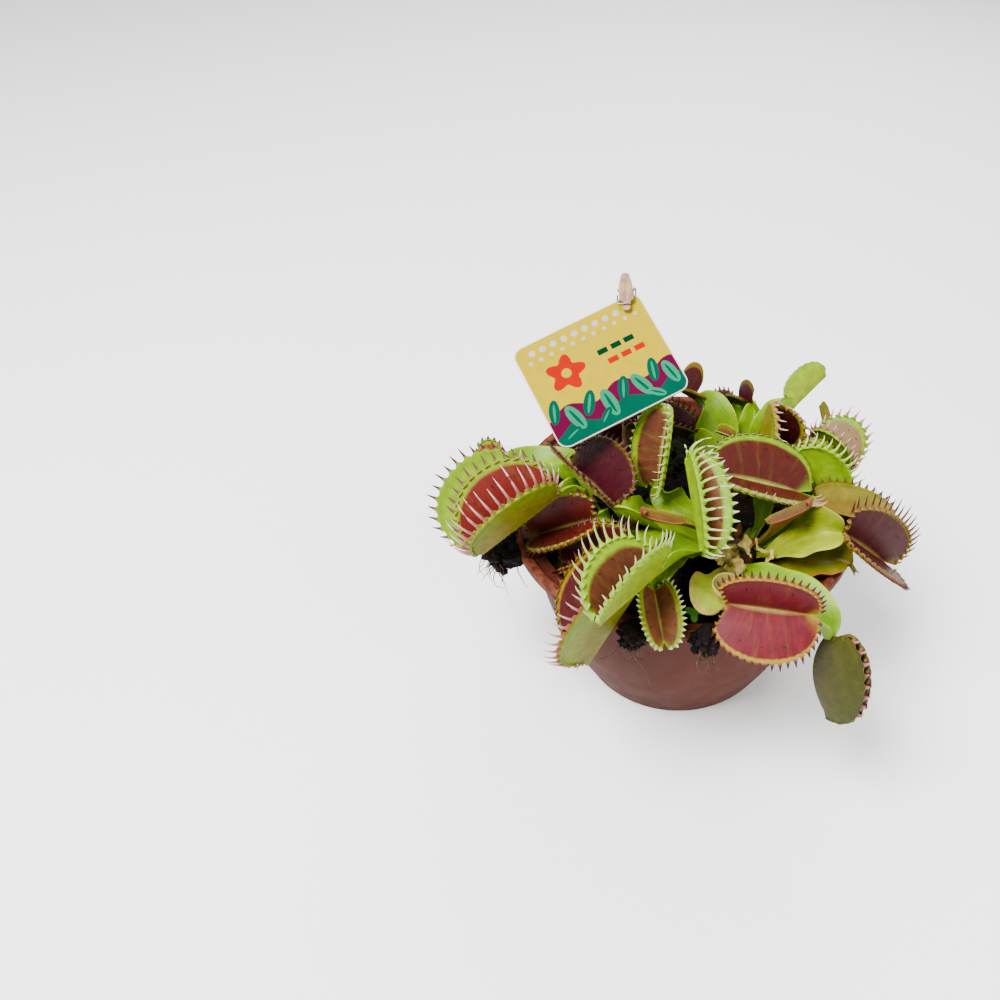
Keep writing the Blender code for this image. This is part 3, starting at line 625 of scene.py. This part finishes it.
def trap_points(f, turn, across):
    """Both lobes as a grid. Rows turn from -90 to 90 degrees along the midrib and columns run
    from one margin (-1) over the midrib (0) to the other (1): each row is an arc that leaves the
    midrib at half the opening angle and bends by the curl, as deep as the cosine of the turn."""
    angle = radians(turn)[:, None]
    from_midrib = rounded(abs(across))[None, :]
    share = (turn[:, None] + 90) / 180
    length = f.length
    at_neck = clip(cos(angle) / NECK_COSINE, 0, 1)
    stretch = np.where(angle < 0, f.spread * at_neck, f.reach)
    margin = length / 2 * (1 + (1 + stretch) * sin(angle))
    depth = NECK + (f.depth - NECK) * clip(cos(angle), 0, 1) ** END_POWER
    half, curl = radians([f.opening / 2, f.curl or 1e-4])
    start = half - curl
    lean = start + 2 * curl * from_midrib
    height = (sin(lean) - sin(start)) / (2 * curl)
    out = (cos(start) - cos(lean)) / (2 * curl)
    keel = -4 * f.bow * share * (1 - share)
    x = length * share * (1 - from_midrib) + margin * from_midrib
    return stack([x, np.sign(across)[None, :] * out * depth, height * depth + keel], -1)


def width_share(u):
    """Share of a petiole's full width at u along it: narrow foot, broad end, pinched neck."""
    narrow, peak = 0.1, 0.68
    rise = narrow + (1 - narrow) * sin(pi / 2 * clip(u / peak, 0, 1)) ** 1.4
    past = (clip(u, peak, 1) - peak) / (1 - peak)
    fall = narrow + (1 - narrow) * sqrt(clip(1 - past ** 2.4, 0, 1))
    return np.where(u < peak, rise, fall)


def petiole_points(f, u, across):
    """Rows along a cubic curve from the crown to the trap, folded like a gutter and turning near
    the end to meet the lobes; the edges ruffle a little. Under a tucked trap the petiole keeps
    its own fold and ends in a half circle that carries it over to the trap's base."""
    base = array(f.base, float)
    along, _, opening = trap_axes(f)
    (cx, cy), radius = CROWNS[f.crown]
    root = array([cx, cy, SOIL_TOP + GAP + f.up]) + direction(f.leave, 0) * (radius + GAP)
    end = base + f.tuck * opening
    span = np.linalg.norm(end - root)
    arriving = unit(unit(end - root) * (1 - f.follow) + along * f.follow)
    t = u[:, None]
    a, b = root, root + 0.4 * span * direction(f.leave, f.rise)
    c, d = end - 0.35 * span * arriving, end
    middle = (1 - t) ** 3 * a + 3 * (1 - t) ** 2 * t * b + 3 * (1 - t) * t ** 2 * c + t ** 3 * d
    tangent = unit((1 - t) ** 2 * (b - a) + 2 * (1 - t) * t * (c - b) + t ** 2 * (d - c))
    blend = smooth(0.55, 1, t) * (f.tuck == 0)
    above = unit(f.face) * (1 - blend) + opening * blend
    side = unit(np.cross(above, tangent))
    above = np.cross(tangent, side)
    half_width = maximum(width_share(u) * f.width / 2, NECK)[:, None]
    lobe_fold = 90 - f.opening / 2 + f.curl
    own_fold = YOUNG_FOLD if f.tuck else GUTTER_FOLD
    fold = radians(own_fold * (1 - blend) + lobe_fold * blend)
    wave = sin(u * 17 + f.leave) * sin(pi * clip(u * 1.1, 0, 1)) * f.ruffle
    sideways = across * half_width * cos(fold)
    lift = rounded(across, 0.12) * half_width * sin(fold) + wave[:, None] * across ** 3
    blade = middle[:, None] + sideways[..., None] * side[:, None] + lift[..., None] * above[:, None]
    if not f.tuck:
        return blade
    swing = radians(linspace(15, 165, 9))[:, None, None]
    outward = sin(swing) * tangent[-1] + cos(swing) * opening
    offset = across[:, None] * NECK
    hoop = (end + base) / 2 + (f.tuck / 2 - 0.35 * abs(offset)) * outward
    return concatenate([blade[:-1], hoop + 0.9 * offset * side[-1]])


def run_along(path):
    """Distance along a path at each of its points."""
    return concatenate([[0], np.cumsum(np.linalg.norm(np.diff(path, axis=0), axis=1))])


def scallop(f, trap, across, column, inward):
    """The trap with one margin drawn back a little between its teeth."""
    share = run_along(trap[:, column])
    share = share / share[-1]
    out = unit(trap[:, column] - trap[:, column + inward])
    wave = abs(cos(pi * f.teeth * share + pi / 2)) ** 0.7
    inside = smooth(1 - 1.6 / f.depth, 1, maximum(-inward * across, 0))
    reach = min(0.6, 0.06 * f.depth) * (wave - 0.6) * clip(sin(pi * share), 0, 1) ** 0.4
    return trap + inside[None, :, None] * reach[:, None, None] * out[:, None]


def make_leaf(f, index, looks):
    """A closed shell: the inner face of petiole and trap, the outer face set off from it by a
    thickness that grows at the midrib and, on the trap, at the margins, and a row of points along
    each edge. Teeth and trigger hairs are added to it."""
    rng = np.random.default_rng(index + 11)
    u = 1 - (1 - linspace(0, 1, PETIOLE_ROWS + 1)[:-1]) ** 1.25
    steps = int(clip(f.teeth * ROWS_PER_TOOTH, 24, 92))
    turn = 90 * sin(radians(linspace(-90, 90, steps)) * 0.85) / sin(radians(76.5))
    half = sin(linspace(0, pi / 2, HALF_COLUMNS)) ** 0.9
    across = concatenate([-half[:0:-1], half])
    axes = array(trap_axes(f))
    trap = f.base + trap_points(f, turn, across) @ axes
    blade = petiole_points(f, u, across)
    n_blade, n_trap, columns = len(blade), len(turn), len(across)
    rows = n_blade + n_trap
    far = abs(across)
    margins = ((0, 1), (-1, -1)) if f.teeth else ()
    shares = [run_along(trap[:, column]) for column, _ in margins]
    for column, inward in margins:
        trap = scallop(f, trap, across, column, inward)

    def by_row(on_blade, on_trap):
        """A grid from what holds on the petiole's rows and what holds on the trap's."""
        return concatenate([np.broadcast_to(on_blade, (n_blade, columns)),
                            np.broadcast_to(on_trap, (n_trap, columns))])

    def loops(inner, right, outer, left):
        """Every row round the shell: inner face, right edge, outer face in reverse, left edge."""
        return concatenate([inner, right, outer[:, ::-1], left], axis=1)

    inner = concatenate([blade, trap])
    middle = columns // 2
    normal = np.cross(np.gradient(inner, axis=0), np.gradient(inner, axis=1))
    facing = np.sign(normal[n_blade + n_trap // 2, middle] @ axes[2])
    normal = unit(normal) * facing
    rib = exp(-(far * 7) ** 2)
    thick_blade = 0.28 + 0.25 * (1 - far ** 2) + 0.55 * rib
    thick_trap = 0.5 + 0.5 * rib + 0.3 * smooth(0.86, 1, far)
    join = by_row(smooth(0.8, 1, linspace(0, 1, n_blade))[:, None], 1.0)
    thick = (0.6 if f.depth < 6 else 1.0) * (thick_blade * (1 - join) + thick_trap * join)
    outer = inner - normal * thick[..., None]
    left = (inner[:, :1] + outer[:, :1]) / 2 + unit(inner[:, :1] - inner[:, 1:2]) * 0.2
    right = (inner[:, -1:] + outer[:, -1:]) / 2 + unit(inner[:, -1:] - inner[:, -2:-1]) * 0.2
    loop = loops(inner, right, outer, left)
    size = loop.shape[1]

    # how far each point has turned to the second tone, and to the rib's
    band = f.rim / max(f.depth, 2)
    rim = smooth(1 - 1.5 * band, 1 - 0.45 * band, far)
    fade_in = by_row(far ** 3 * 0.8, maximum(rim, 0.75 * abs(turn / 90)[:, None] ** 6))
    fade_out = by_row(far ** 2 * 0.5, 1 - 0.8 * smooth(0.0, 0.9, far))
    edge = np.ones((rows, 1))
    fade = loops(fade_in, 0.98 * edge, fade_out, 0.98 * edge)
    rib_in = exp(-(far * 16) ** 2) * by_row(0.5, 0.9 * cos(radians(turn))[:, None] ** 0.5)
    ribs = loops(rib_in, 0 * edge, 0.4 * rib_in, 0 * edge)
    place = np.arange(size)
    on_inner = (place <= columns) | (place == size - 1)

    def tones(inside, outside, stem_inside, stem_outside):
        """Colour per point, for the trap's and then the petiole's inner and outer face."""
        on_trap = np.where(on_inner[:, None], inside, outside)
        on_blade = np.where(on_inner[:, None], stem_inside, stem_outside)
        is_trap = (np.arange(rows) >= n_blade)[:, None, None]
        return opaque(np.where(is_trap, on_trap, on_blade).reshape(-1, 3))

    deep, lip, back, flush = (living(code) for code in SKINS[f.skin].split())
    upper, brim, under = (living(code) for code in BLADES[f.blade].split())
    pale = lip * 0.6 + colour("e8dca0") * 0.4
    vary = 1 + 0.12 * (rng.random(3) - 0.5)
    aside = concatenate([across, [1], across[::-1], [-1]]) * f.depth
    flow = np.broadcast_arrays(run_along(inner[:, middle])[:, None], aside, index * 7.0)

    quads, near_cap, far_cap = shell(rows, columns, 1)
    row_of, column_of = np.divmod(quads[:, 0], size)
    inner_face = on_inner[column_of] & (column_of != columns)
    slots = list(np.where(row_of < n_blade, 2, np.where(inner_face, 0, 1)))
    slots += [2] * len(near_cap) + [1] * len(far_cap)
    faces = quads.tolist() + near_cap + far_cap
    parts = Parts()
    parts.add(loop.reshape(-1, 3), turned_over(faces) if facing > 0 else faces, slots,
              fade=fade.ravel(), rib=ribs.ravel(),
              tone_a=tones(deep * vary, back * vary, upper * vary, under * vary),
              tone_b=tones(lip, flush * 0.5 + back * 0.5, brim, brim),
              tone_c=tones(pale, back, brim * 1.1, brim), flow=stack(flow, -1).reshape(-1, 3))
    heights = [trap[n_trap // 2, column] @ TOWARDS_VIEW for column, _ in margins]
    for (column, inward), run, height in zip(margins, shares, heights):
        add_teeth(parts, f, int(height < max(heights)), trap, normal[n_blade:], column, inward,
                  run / run[-1], rng)
    if f.teeth and f.depth >= 6 and f.opening >= 25:
        add_hairs(parts, trap, normal[n_blade:])
    piece = parts.make(f"visual_{f.name}", looks, 60)
    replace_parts(piece, f"leaf_{f.name}")


def add_spike(parts, spike, fade, foot, tip):
    parts.add(*spike, 3, fade=fade, rib=0.0, tone_a=foot, tone_b=tip, tone_c=tip, flow=spike[0])


def add_teeth(parts, f, which, trap, normal, column, inward, run, rng):
    """A row of curved spikes along one margin. Each leaves in the lobe's own direction, turns
    towards the other lobe by the lean, and thins from a flared foot to a fine point."""
    edge = trap[:, column]
    out = unit(edge - trap[:, column + 3 * inward])
    base_tone, tip_tone = (colour(code) for code in TEETH[f.tooth[which]].split())
    skin = colour(SKINS[f.skin].split()[1])
    count = f.teeth
    s = linspace(0, 1, TOOTH_RINGS)
    fade = np.append(np.repeat(s, TOOTH_SIDES), [0, 1])
    root_share = clip(1 - fade * 3, 0, 1)[:, None]
    tone = opaque(base_tone * (1 - root_share) + skin * root_share)
    tip = opaque(tip_tone)
    lean = radians(f.lean[which])
    pitch = run_along(edge)[-1] / count
    wide = min(0.42, pitch * 0.26)
    for k in range(count):
        share = (k + 0.5) / count
        row = np.interp(share, run, np.arange(len(run)))
        low = int(row)
        high = min(low + 1, len(run) - 1)
        mix = row - low
        foot = edge[low] * (1 - mix) + edge[high] * mix
        way = unit(out[low] * (1 - mix) + out[high] * mix)
        over = unit(normal[low, column])
        margin = unit(edge[high] - edge[max(low - 1, 0)])
        tall = f.long[which] * (0.5 + 0.5 * sin(pi * share) ** 0.5)
        tall *= 0.85 + 0.3 * rng.random()
        bend = (lean * (0.7 + 0.6 * rng.random()) * s)[:, None]
        stray = 0.12 * (rng.random() - 0.5) * s[:, None]
        path = (foot - way * 0.35
                + tall * s[:, None] * (cos(bend) * way + sin(bend) * over + stray * margin))
        radii = wide * (1 - s) ** 0.7 + 0.03 + 0.24 * pitch * exp(-s * tall / 0.4)
        add_spike(parts, tube(path, radii * 0.75, TOOTH_SIDES, flat=over, wide=1.35), fade, tone,
                  tip)


def add_hairs(parts, trap, normal):
    """Three fine trigger hairs on each lobe's inner face."""
    s = linspace(0, 1, 5)
    tone = opaque(colour("5c1c20"))
    quarter = trap.shape[1] // 4
    for column in (quarter, -1 - quarter):
        for share in (0.38, 0.5, 0.62):
            row = int(share * (len(trap) - 1))
            path = trap[row, column] + (s * 1.9 - 0.1)[:, None] * normal[row, column]
            add_spike(parts, tube(path, 0.11 * (1 - s) + 0.03, 5), 0.3, tone, tone)


# ---- pot and soil ----

def wall_radius(height):
    """Outer radius of the wall: a straight flare with a slight bowl-like bulge."""
    share = height / (POT_HEIGHT - LIP_HEIGHT)
    flare = (SHOULDER_RADIUS - BASE_RADIUS) * share
    return BASE_RADIUS + flare + WALL_BOW * sin(pi * share)


def arc(radius_out, height, radius, start, end, steps):
    """Profile points on a small circle round a place at radius_out and height."""
    turn = radians(linspace(start, end, steps))
    return [(radius_out + radius * cos(t), height + radius * sin(t)) for t in turn]


def make_pot(look):
    """A profile turned round +Z: floor, inner wall, rolled lip, outer wall and base; the drain
    holes are cut out of the floor."""
    lip_bottom = POT_HEIGHT - LIP_HEIGHT
    lip_inner = RIM_RADIUS - LIP_WIDTH
    heights = linspace(0, lip_bottom - 0.2, 24)
    outer = [(wall_radius(h), h) for h in heights]
    inner = [(wall_radius(h) - WALL, h) for h in concatenate([[FLOOR], heights[1:]])]
    lip = ([(lip_inner - 0.4, lip_bottom + 0.9), (lip_inner, lip_bottom + 1.6)]
           + arc(lip_inner + 0.7, POT_HEIGHT - 0.7, 0.7, 180, 90, 5)
           + arc(RIM_RADIUS - 0.7, POT_HEIGHT - 0.7, 0.7, 90, 0, 5)
           + arc(RIM_RADIUS - 0.4, lip_bottom + 0.4, 0.4, 0, -90, 4)
           + [(SHOULDER_RADIUS + 0.6, lip_bottom)])
    profile = array(inner + lip + outer[::-1] + [(BASE_RADIUS - 0.8, 0)])
    grid = around(profile[:, :1], full_turn(160), profile[:, 1:])
    points, faces = capped(grid, (0, 0, FLOOR), (0, 0, 0))
    pot = make_piece("visual_pot", points, turned_over(faces), [look], sharp=40)
    for turn in full_turn(DRAIN_COUNT) + pi / DRAIN_COUNT:
        bpy.ops.mesh.primitive_cylinder_add(vertices=32, radius=DRAIN_RADIUS * MM,
                                            depth=4 * FLOOR * MM,
                                            location=around(DRAIN_CIRCLE, turn, FLOOR / 2) * MM)
        cutter = bpy.context.object
        cut = pot.modifiers.new("drain", "BOOLEAN")
        cut.operation, cut.object = "DIFFERENCE", cutter
        bpy.context.view_layer.objects.active = pot
        bpy.ops.object.modifier_apply(modifier="drain")
        bpy.data.objects.remove(cutter, do_unlink=True)
    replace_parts(pot, "pot")


def soil_radius(height):
    return wall_radius(height) - WALL - 2 * GAP


def soil_top(radius, turn):
    """Height of the soil's top, before its lumps: a low dome and the heap against the wall."""
    share = radius / soil_radius(SOIL_EDGE)
    dome = SOIL_TOP - (SOIL_TOP - SOIL_EDGE) * share ** 6
    heap = HEAP_RISE * exp(-((np.degrees(turn) % 360 - HEAP_TURN) / HEAP_SPAN) ** 2)
    return dome + heap * smooth(0.62, 0.9, share)


def make_soil(look):
    """The peat body: a turned side and floor, and a top of lumps from layered noise."""
    share = linspace(0, 1, 90)[1:, None]
    radius = soil_radius(SOIL_EDGE) * share
    turn = full_turn(220)
    flat = around(radius, turn)
    lumps = 1.1 * ripple(flat, 9, 3, 3) + 0.9 * abs(ripple(flat, 3.2, 8, 4))
    calm = 1 - smooth(0.97, 1, share)
    top = around(radius, turn, soil_top(radius, turn) + lumps * calm)
    level = array([SOIL_EDGE * 0.75, SOIL_EDGE * 0.5, SOIL_EDGE * 0.25, FLOOR + GAP])[:, None]
    side = around(soil_radius(level), turn, level)
    points, faces = capped(concatenate([top, side]), (0, 0, SOIL_TOP + 0.8), (0, 0, FLOOR + GAP))
    soil = make_piece("visual_soil", points, turned_over(faces), [look], sharp=80)
    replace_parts(soil, "soil")


def slab(sheet, thickness):
    """A closed thin body from a grid of points and the same grid shifted along its normals."""
    normal = unit(np.cross(np.gradient(sheet, axis=0), np.gradient(sheet, axis=1)))
    points = concatenate([sheet, (sheet - normal * thickness)[:, ::-1]], axis=1).reshape(-1, 3)
    quads, near_cap, far_cap = shell(*sheet.shape[:2], 0)
    return points, turned_over(quads.tolist() + near_cap + far_cap)


def lump(centre, size, seed, rows=44, columns=64, rough=0.45, squash=0.85):
    """A clod: a sphere whose radius varies with layered noise of its direction."""
    polar = linspace(0, pi, rows)[1:-1, None]
    way = around(sin(polar), full_turn(columns), cos(polar))
    swell = ripple(way, 0.9, seed, 5)
    radius = size * (1 + rough * swell + 0.25 * rough * abs(ripple(way, 0.22, seed + 9, 3)))
    points, faces = capped(way * radius[..., None], (0, 0, radius[0].mean()),
                           (0, 0, -radius[-1].mean()))
    return points * [1, 1, squash] + centre, turned_over(faces)


def pebble(rng, centre, size):
    """A small clod of twenty faces: an icosahedron with its corners pushed about."""
    g = (1 + 5 ** 0.5) / 2
    corners = [(-1, g, 0), (1, g, 0), (-1, -g, 0), (1, -g, 0)]
    corners = concatenate([np.roll(corners, k, axis=1) for k in range(3)])
    corners = unit(corners) * size * (0.65 + 0.7 * rng.random((12, 1))) * [1, 1, 0.75]
    faces = [(0, 11, 5), (0, 5, 1), (0, 1, 7), (0, 7, 10), (0, 10, 11), (1, 5, 9), (5, 11, 4),
             (11, 10, 2), (10, 7, 6), (7, 1, 8), (3, 9, 4), (3, 4, 2), (3, 2, 6), (3, 6, 8),
             (3, 8, 9), (4, 9, 5), (2, 4, 11), (6, 2, 10), (8, 6, 7), (9, 8, 1)]
    spin = rng.random() * 2 * pi
    turn = [(cos(spin), -sin(spin), 0), (sin(spin), cos(spin), 0), (0, 0, 1)]
    return corners @ turn + centre, faces


def thread(rng, start, way, length, radius, sag, steps):
    """A wandering root or fibre that starts one way and gives in to its weight."""
    spots, heading = [start], unit(way)
    for _ in range(steps):
        heading = unit(heading + 1.1 * (rng.random(3) - 0.5) + [0, 0, -sag])
        spots.append(spots[-1] + heading * length / steps)
    return tube(spots, radius * (1 - 0.75 * linspace(0, 1, steps + 1)), 5)


def on_soil(x, y, lift):
    """A place a little above the soil's top."""
    radius = min(hypot(x, y), soil_radius(SOIL_EDGE))
    return array([x, y, soil_top(radius, arctan2(y, x)) + lift])


def make_litter(looks):
    """Loose peat on the soil: clods, fibres and moss tufts, all in one piece."""
    rng = np.random.default_rng(5)
    parts = Parts()
    edge = soil_radius(SOIL_EDGE) - 1.5

    def anywhere(lift):
        """A random place on the soil."""
        turn, radius = rng.random() * 2 * pi, edge * sqrt(rng.random())
        return on_soil(radius * cos(turn), radius * sin(turn), lift)

    for _ in range(CLODS):
        spot = anywhere(0.9)
        size = 0.35 + 1.1 * rng.random() ** 3
        parts.add(*pebble(rng, spot, size))
    for _ in range(FIBRES):
        spot = anywhere(1.2)
        way = [rng.random() - 0.5, rng.random() - 0.5, 0.25]
        parts.add(*thread(rng, spot, way, 2 + 5 * rng.random(), 0.16, 0.12, 8), 1)
    s = linspace(0, 1, 4)
    for azimuth, radius, spread, count in MOSS:
        centre = around(radius, radians(azimuth))[:2]
        for _ in range(count):
            x, y = centre + spread * rng.normal(size=2) * 0.5
            if hypot(x, y) > edge:
                continue
            tilt = unit([rng.random() - 0.5, rng.random() - 0.5, 1.4])
            path = on_soil(x, y, 0.4) + s[:, None] * tilt * (1 + 1.2 * rng.random())
            parts.add(*tube(path, 0.2 * (1 - s) + 0.05, 4), 2)
    parts.make("soil_litter", looks, 40)


def make_spill(looks):
    """Peat that has spilled over the rim: clods, drips down the wall and bare roots."""
    rng = np.random.default_rng(21)
    for name, (azimuth, reach, height, size, roots) in SPILLS.items():
        turn = radians(azimuth)
        centre = around(reach, turn, height)
        out = around(1, turn)
        parts = Parts()
        parts.add(*lump(centre, size * 0.95, azimuth))
        for _ in range(SPILL_CLODS):
            way = unit(rng.normal(size=3) + out * 0.8 + [0, 0, -0.3])
            spot = centre + way * size * (0.8 + 0.3 * rng.random())
            parts.add(*pebble(rng, spot, 0.5 + 0.9 * rng.random()))
        for _ in range(roots):
            way = unit(rng.normal(size=3) * 0.5 + out + [0, 0, -0.2])
            length = 5 + 10 * rng.random()
            parts.add(*thread(rng, centre + way * size * 0.6, way, length, 0.22, 0.28, 14), 1)
        for _ in range(SPILL_DRIPS):
            level = height - size * 0.5 - 1 - 9 * rng.random() ** 1.5
            swing = turn + (rng.random() - 0.5) * size * 0.035
            wall = wall_radius(level) + 0.3 if level < POT_HEIGHT - LIP_HEIGHT else RIM_RADIUS
            parts.add(*pebble(rng, around(wall, swing, level), 0.3 + 0.6 * rng.random()))
        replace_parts(parts.make(f"visual_{name}", looks, 40), name)


def make_crowns(looks):
    """Each crown: a low wrinkled dome with scales and the tips of leaves still to come."""
    rng = np.random.default_rng(77)
    s = linspace(0, 1, 8)[:, None]
    for name, ((x, y), radius) in CROWNS.items():
        parts = Parts()
        base = array([x, y, SOIL_TOP + GAP])
        points, faces = lump(np.zeros(3), 1.0, len(name), 30, 48, 0.16, 1.0)
        points = points * [radius - 0.6, radius - 0.6, 5.4] + base
        points[:, 2] = maximum(points[:, 2], base[2] - 0.2)
        parts.add(points, faces)
        for k in range(9):
            out = around(1, k * 2.4 + 0.5)
            foot = base + out * radius * (0.2 + 0.5 * rng.random()) + [0, 0, 3.8]
            path = foot + s * (out * 1.6 + [0, 0, 3.4 + 2 * rng.random()]) + out * 1.2 * s ** 2
            fat = 1.05 * sin(pi * (0.15 + 0.8 * s[:, 0])) ** 0.8 + 0.05
            parts.add(*tube(path, fat * 0.7, 10, flat=out, wide=1.5), 1 + k % 2)
        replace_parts(parts.make(f"visual_crown_{name}", looks, 50), f"crown_{name}")


def make_dry_bits(look):
    """Torn dry leaf ends around the front crown: small crumpled sheets with ragged edges."""
    rng = np.random.default_rng(31)
    parts = Parts()
    side = linspace(-1, 1, 22)
    u, v = np.meshgrid(side, side, indexing="ij")
    for x, y, z, wide, tall, turn in DRY_BITS:
        flat = stack([u * wide / 2, v * tall / 2, np.zeros_like(u)], -1)
        flat[..., :2] *= 1 + 0.3 * ripple(flat + x * 3, 1.3, 4, 3)[..., None]
        flat[..., 2] = 0.8 * ripple(flat + y * 5, 2.4, 7, 3) + 0.25 * wide * u ** 2
        tilt = Euler((radians(25 + 40 * rng.random()), radians(50 * rng.random() - 25),
                      radians(turn))).to_matrix()
        parts.add(*slab(flat @ array(tilt).T + [x, y, z], 0.15))
    parts.make("dry_leaf_bits", [look], 60)


# ---- card ----

def card_ink(x, y):
    """Printed colour at places on the card: a yellow ground over a plum field with a wavy
    border, teal and mint drops, an orange five-petalled flower, rows of dots and short bars."""
    ink = np.tile(PRINT["yellow"], x.shape + (1,))

    def paint(where, name):
        ink[where] = PRINT[name]

    shore = -6.5 + 1.4 * sin(x * 0.42 + 0.6)
    paint(y < shore, "plum")
    paint(y < shore - 5.4, "teal")
    for k, (cx, cy, long, tilt) in enumerate(DROPS):
        c, s = cos(radians(tilt)), sin(radians(tilt))
        along, over = (x - cx) * c + (y - cy) * s, -(x - cx) * s + (y - cy) * c
        skin, vein = ("teal", "mint")[::1 - 2 * (k % 2)]
        paint((along / long) ** 2 + (over / (long * 0.42)) ** 2 < 1, skin)
        paint(((along + 0.2) / long) ** 2 * 1.7 + (over / (long * 0.1)) ** 2 < 1, vein)
    bloom = hypot(x + 8.6, y - 3.4)
    paint(bloom < 4.6 + 1.1 * cos(5 * arctan2(y - 3.4, x + 8.6)), "orange")
    paint(bloom < 1.4, "yellow")
    for row, (level, size) in enumerate(((13.2, 0.95), (10.6, 0.6))):
        across = (x + 16 + row * 1.6) % 3.2 - 1.6
        paint((hypot(across, y - level) < size) & (abs(x) < 16.5), "white")
    for level, start, end, name in ((4.6, 1.5, 13.5, "deep"), (0.9, 3.0, 15.0, "orange")):
        inside = (x >= start) & (x <= end) & ((x - start) % 4.0 <= 2.9)
        paint(inside & (abs(y - level) < 0.85), name)
    return opaque(ink)


def make_card(paper, look):
    """The print as a thin sheet of fine cells just above the card's front face."""
    half = array([CARD_WIDTH, CARD_HEIGHT]) / 2
    x, y = np.meshgrid(*(np.arange(-h + 0.3, h - 0.15, PRINT_CELL) for h in half), indexing="ij")
    flat = stack([x, y, np.full_like(x, CARD_THICKNESS / 2 + 0.03)], -1)
    past = maximum(abs(flat[..., :2]) - (half - CARD_CORNER), 0)
    kept = (np.linalg.norm(past, axis=-1) < CARD_CORNER - 0.25).ravel()
    place = (Matrix.Rotation(radians(CARD_TURN), 3, "Z")
             @ Matrix.Rotation(radians(CARD_LEAN), 3, "X")
             @ Matrix.Rotation(radians(CARD_SPIN), 3, "Z"))
    points = (flat @ array(place).T + CARD_CENTRE).reshape(-1, 3)
    quads = grid_quads(*x.shape)
    quads = quads[kept[quads].all(axis=1)][:, ::-1]
    used, packed = np.unique(quads, return_inverse=True)
    make_piece("card_print", points[used], packed.reshape(-1, 4).tolist(), [look],
               values={"ink": card_ink(x, y).reshape(-1, 4)[used]})
    dress("label_card", paper)


def dress(node, look):
    """Gives one of the frame's own pieces a look in place of its plain one."""
    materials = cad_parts[node].data.materials
    materials.clear()
    materials.append(look)


# ---- setting ----

def make_stage():
    """A pale floor, an even sky and three soft lamps aimed at the plant."""
    floor = Look("studio_floor", Roughness=0.9)
    floor.set(Base_Color=floor.blend(floor.noise(2.0, 2), 0.2, 0.8, (0.9, 0.9, 0.89, 1),
                                     (0.93, 0.93, 0.92, 1)))
    mesh = bpy.data.meshes.new("floor")
    corners = [(-1, -1, 0), (1, -1, 0), (1, 1, 0), (-1, 1, 0)]
    mesh.from_pydata((array(corners) * FLOOR_HALF).tolist(), [], [(0, 1, 2, 3)])
    mesh.materials.append(floor.material)
    shown("floor", mesh)
    world = bpy.data.worlds.new("studio")
    bpy.context.scene.world = world
    world.use_nodes = True
    sky = world.node_tree.nodes["Background"].inputs
    sky["Color"].default_value = (1, 1, 1, 1)
    sky["Strength"].default_value = WORLD_LEVEL
    for name, (spot, size, power) in LAMPS.items():
        lamp = bpy.data.lights.new(name, "AREA")
        lamp.size, lamp.energy = size, power
        holder = shown(name, lamp)
        holder.location = spot
        aim = Vector((0, 0, 0.06)) - Vector(spot)
        holder.rotation_euler = aim.to_track_quat("-Z", "Y").to_euler()


def make_camera():
    camera = bpy.data.cameras.new("camera")
    camera.lens, camera.shift_x = CAMERA_LENS, CAMERA_SHIFT
    camera.sensor_width = 36
    camera.clip_start = 0.01
    holder = shown("camera", camera)
    holder.location = (Vector(CAMERA_TARGET) + Vector(TOWARDS_VIEW) * CAMERA_RANGE) * MM
    look = Euler((radians(90 - CAMERA_PITCH), 0, 0)).to_matrix()
    roll = Matrix.Rotation(radians(CAMERA_ROLL), 3, "Z")
    holder.rotation_euler = (look @ roll).to_euler()
    bpy.context.scene.camera = holder


make_stage()
make_camera()
leaf_looks = [
    leaf_look("trap_inside", 0.5, 5200, 0.3, 0.04, (0.8, 0.12, 1), 0.4, 0.2),
    leaf_look("trap_outside", 0.46, 2600, 0.12, 0.05, (1.6, 0.15, 1), 0.35, 0.2),
    leaf_look("petiole_blade", 0.42, 1800, 0.18, 0.08, (0.12, 0.9, 1), 0.45, 0.16),
    tooth_look(),
]
for number, row in enumerate(LEAVES):
    make_leaf(row, number, leaf_looks)
make_pot(pot_look())
make_soil(soil_look("dark_soil", "181210", "3c2c22", "3c4a1c"))
root = plain_look("root", "3c2a1c", "7c5c40", 500)
moss = plain_look("moss", "243010", "5c7424", 600)
make_litter([soil_look("peat_clods", "1a1310", "463226"), root, moss])
make_spill([soil_look("spilt_peat", "16100d", "3c2c22"), root])
make_crowns([plain_look("leaf_crown", "3c2018", "7c5430", 300),
             plain_look("bud_green", "5c7c24", "94a848", 260, 0.45),
             plain_look("bud_pink", "8c4c3c", "b08450", 260, 0.45)])
make_dry_bits(plain_look("dry_leaf", "b8a058", "f4e4a0", 420, 0.75, 0.5))
make_card(plain_look("card_paper", "e4dccc", "f4efe4", 400, 0.7, 0.1), print_look())
wood = grained("pale_wood", "c9a983", "a07f5c", 900, (0.35, 0.7), (0.3, 0.0002),
               stretch=(1, 0.35, 0.12), spot="8c6c4c", Roughness=0.6)
steel = grained("spring_steel", "b8b8b4", "8c8880", 2000, (0.4, 0.7), (0.1, 0.0001), 3,
                Roughness=0.3, Metallic=1.0)
dry = grained("dry_stalk", "d8d0a4", "a8986c", 600, (0.35, 0.7), (0.4, 0.0004),
              stretch=(0.3, 1, 1), Roughness=0.7)
for node, look in (("peg_front_leg", wood), ("peg_back_leg", wood), ("tag_stick", wood),
                   ("peg_spring", steel), ("peg_spring_front_arm", steel),
                   ("cut_stalk", dry),
                   ("seedling", plain_look("seedling", "4c8c2c", "7cb43c", 300, 0.5))):
    dress(node, look)
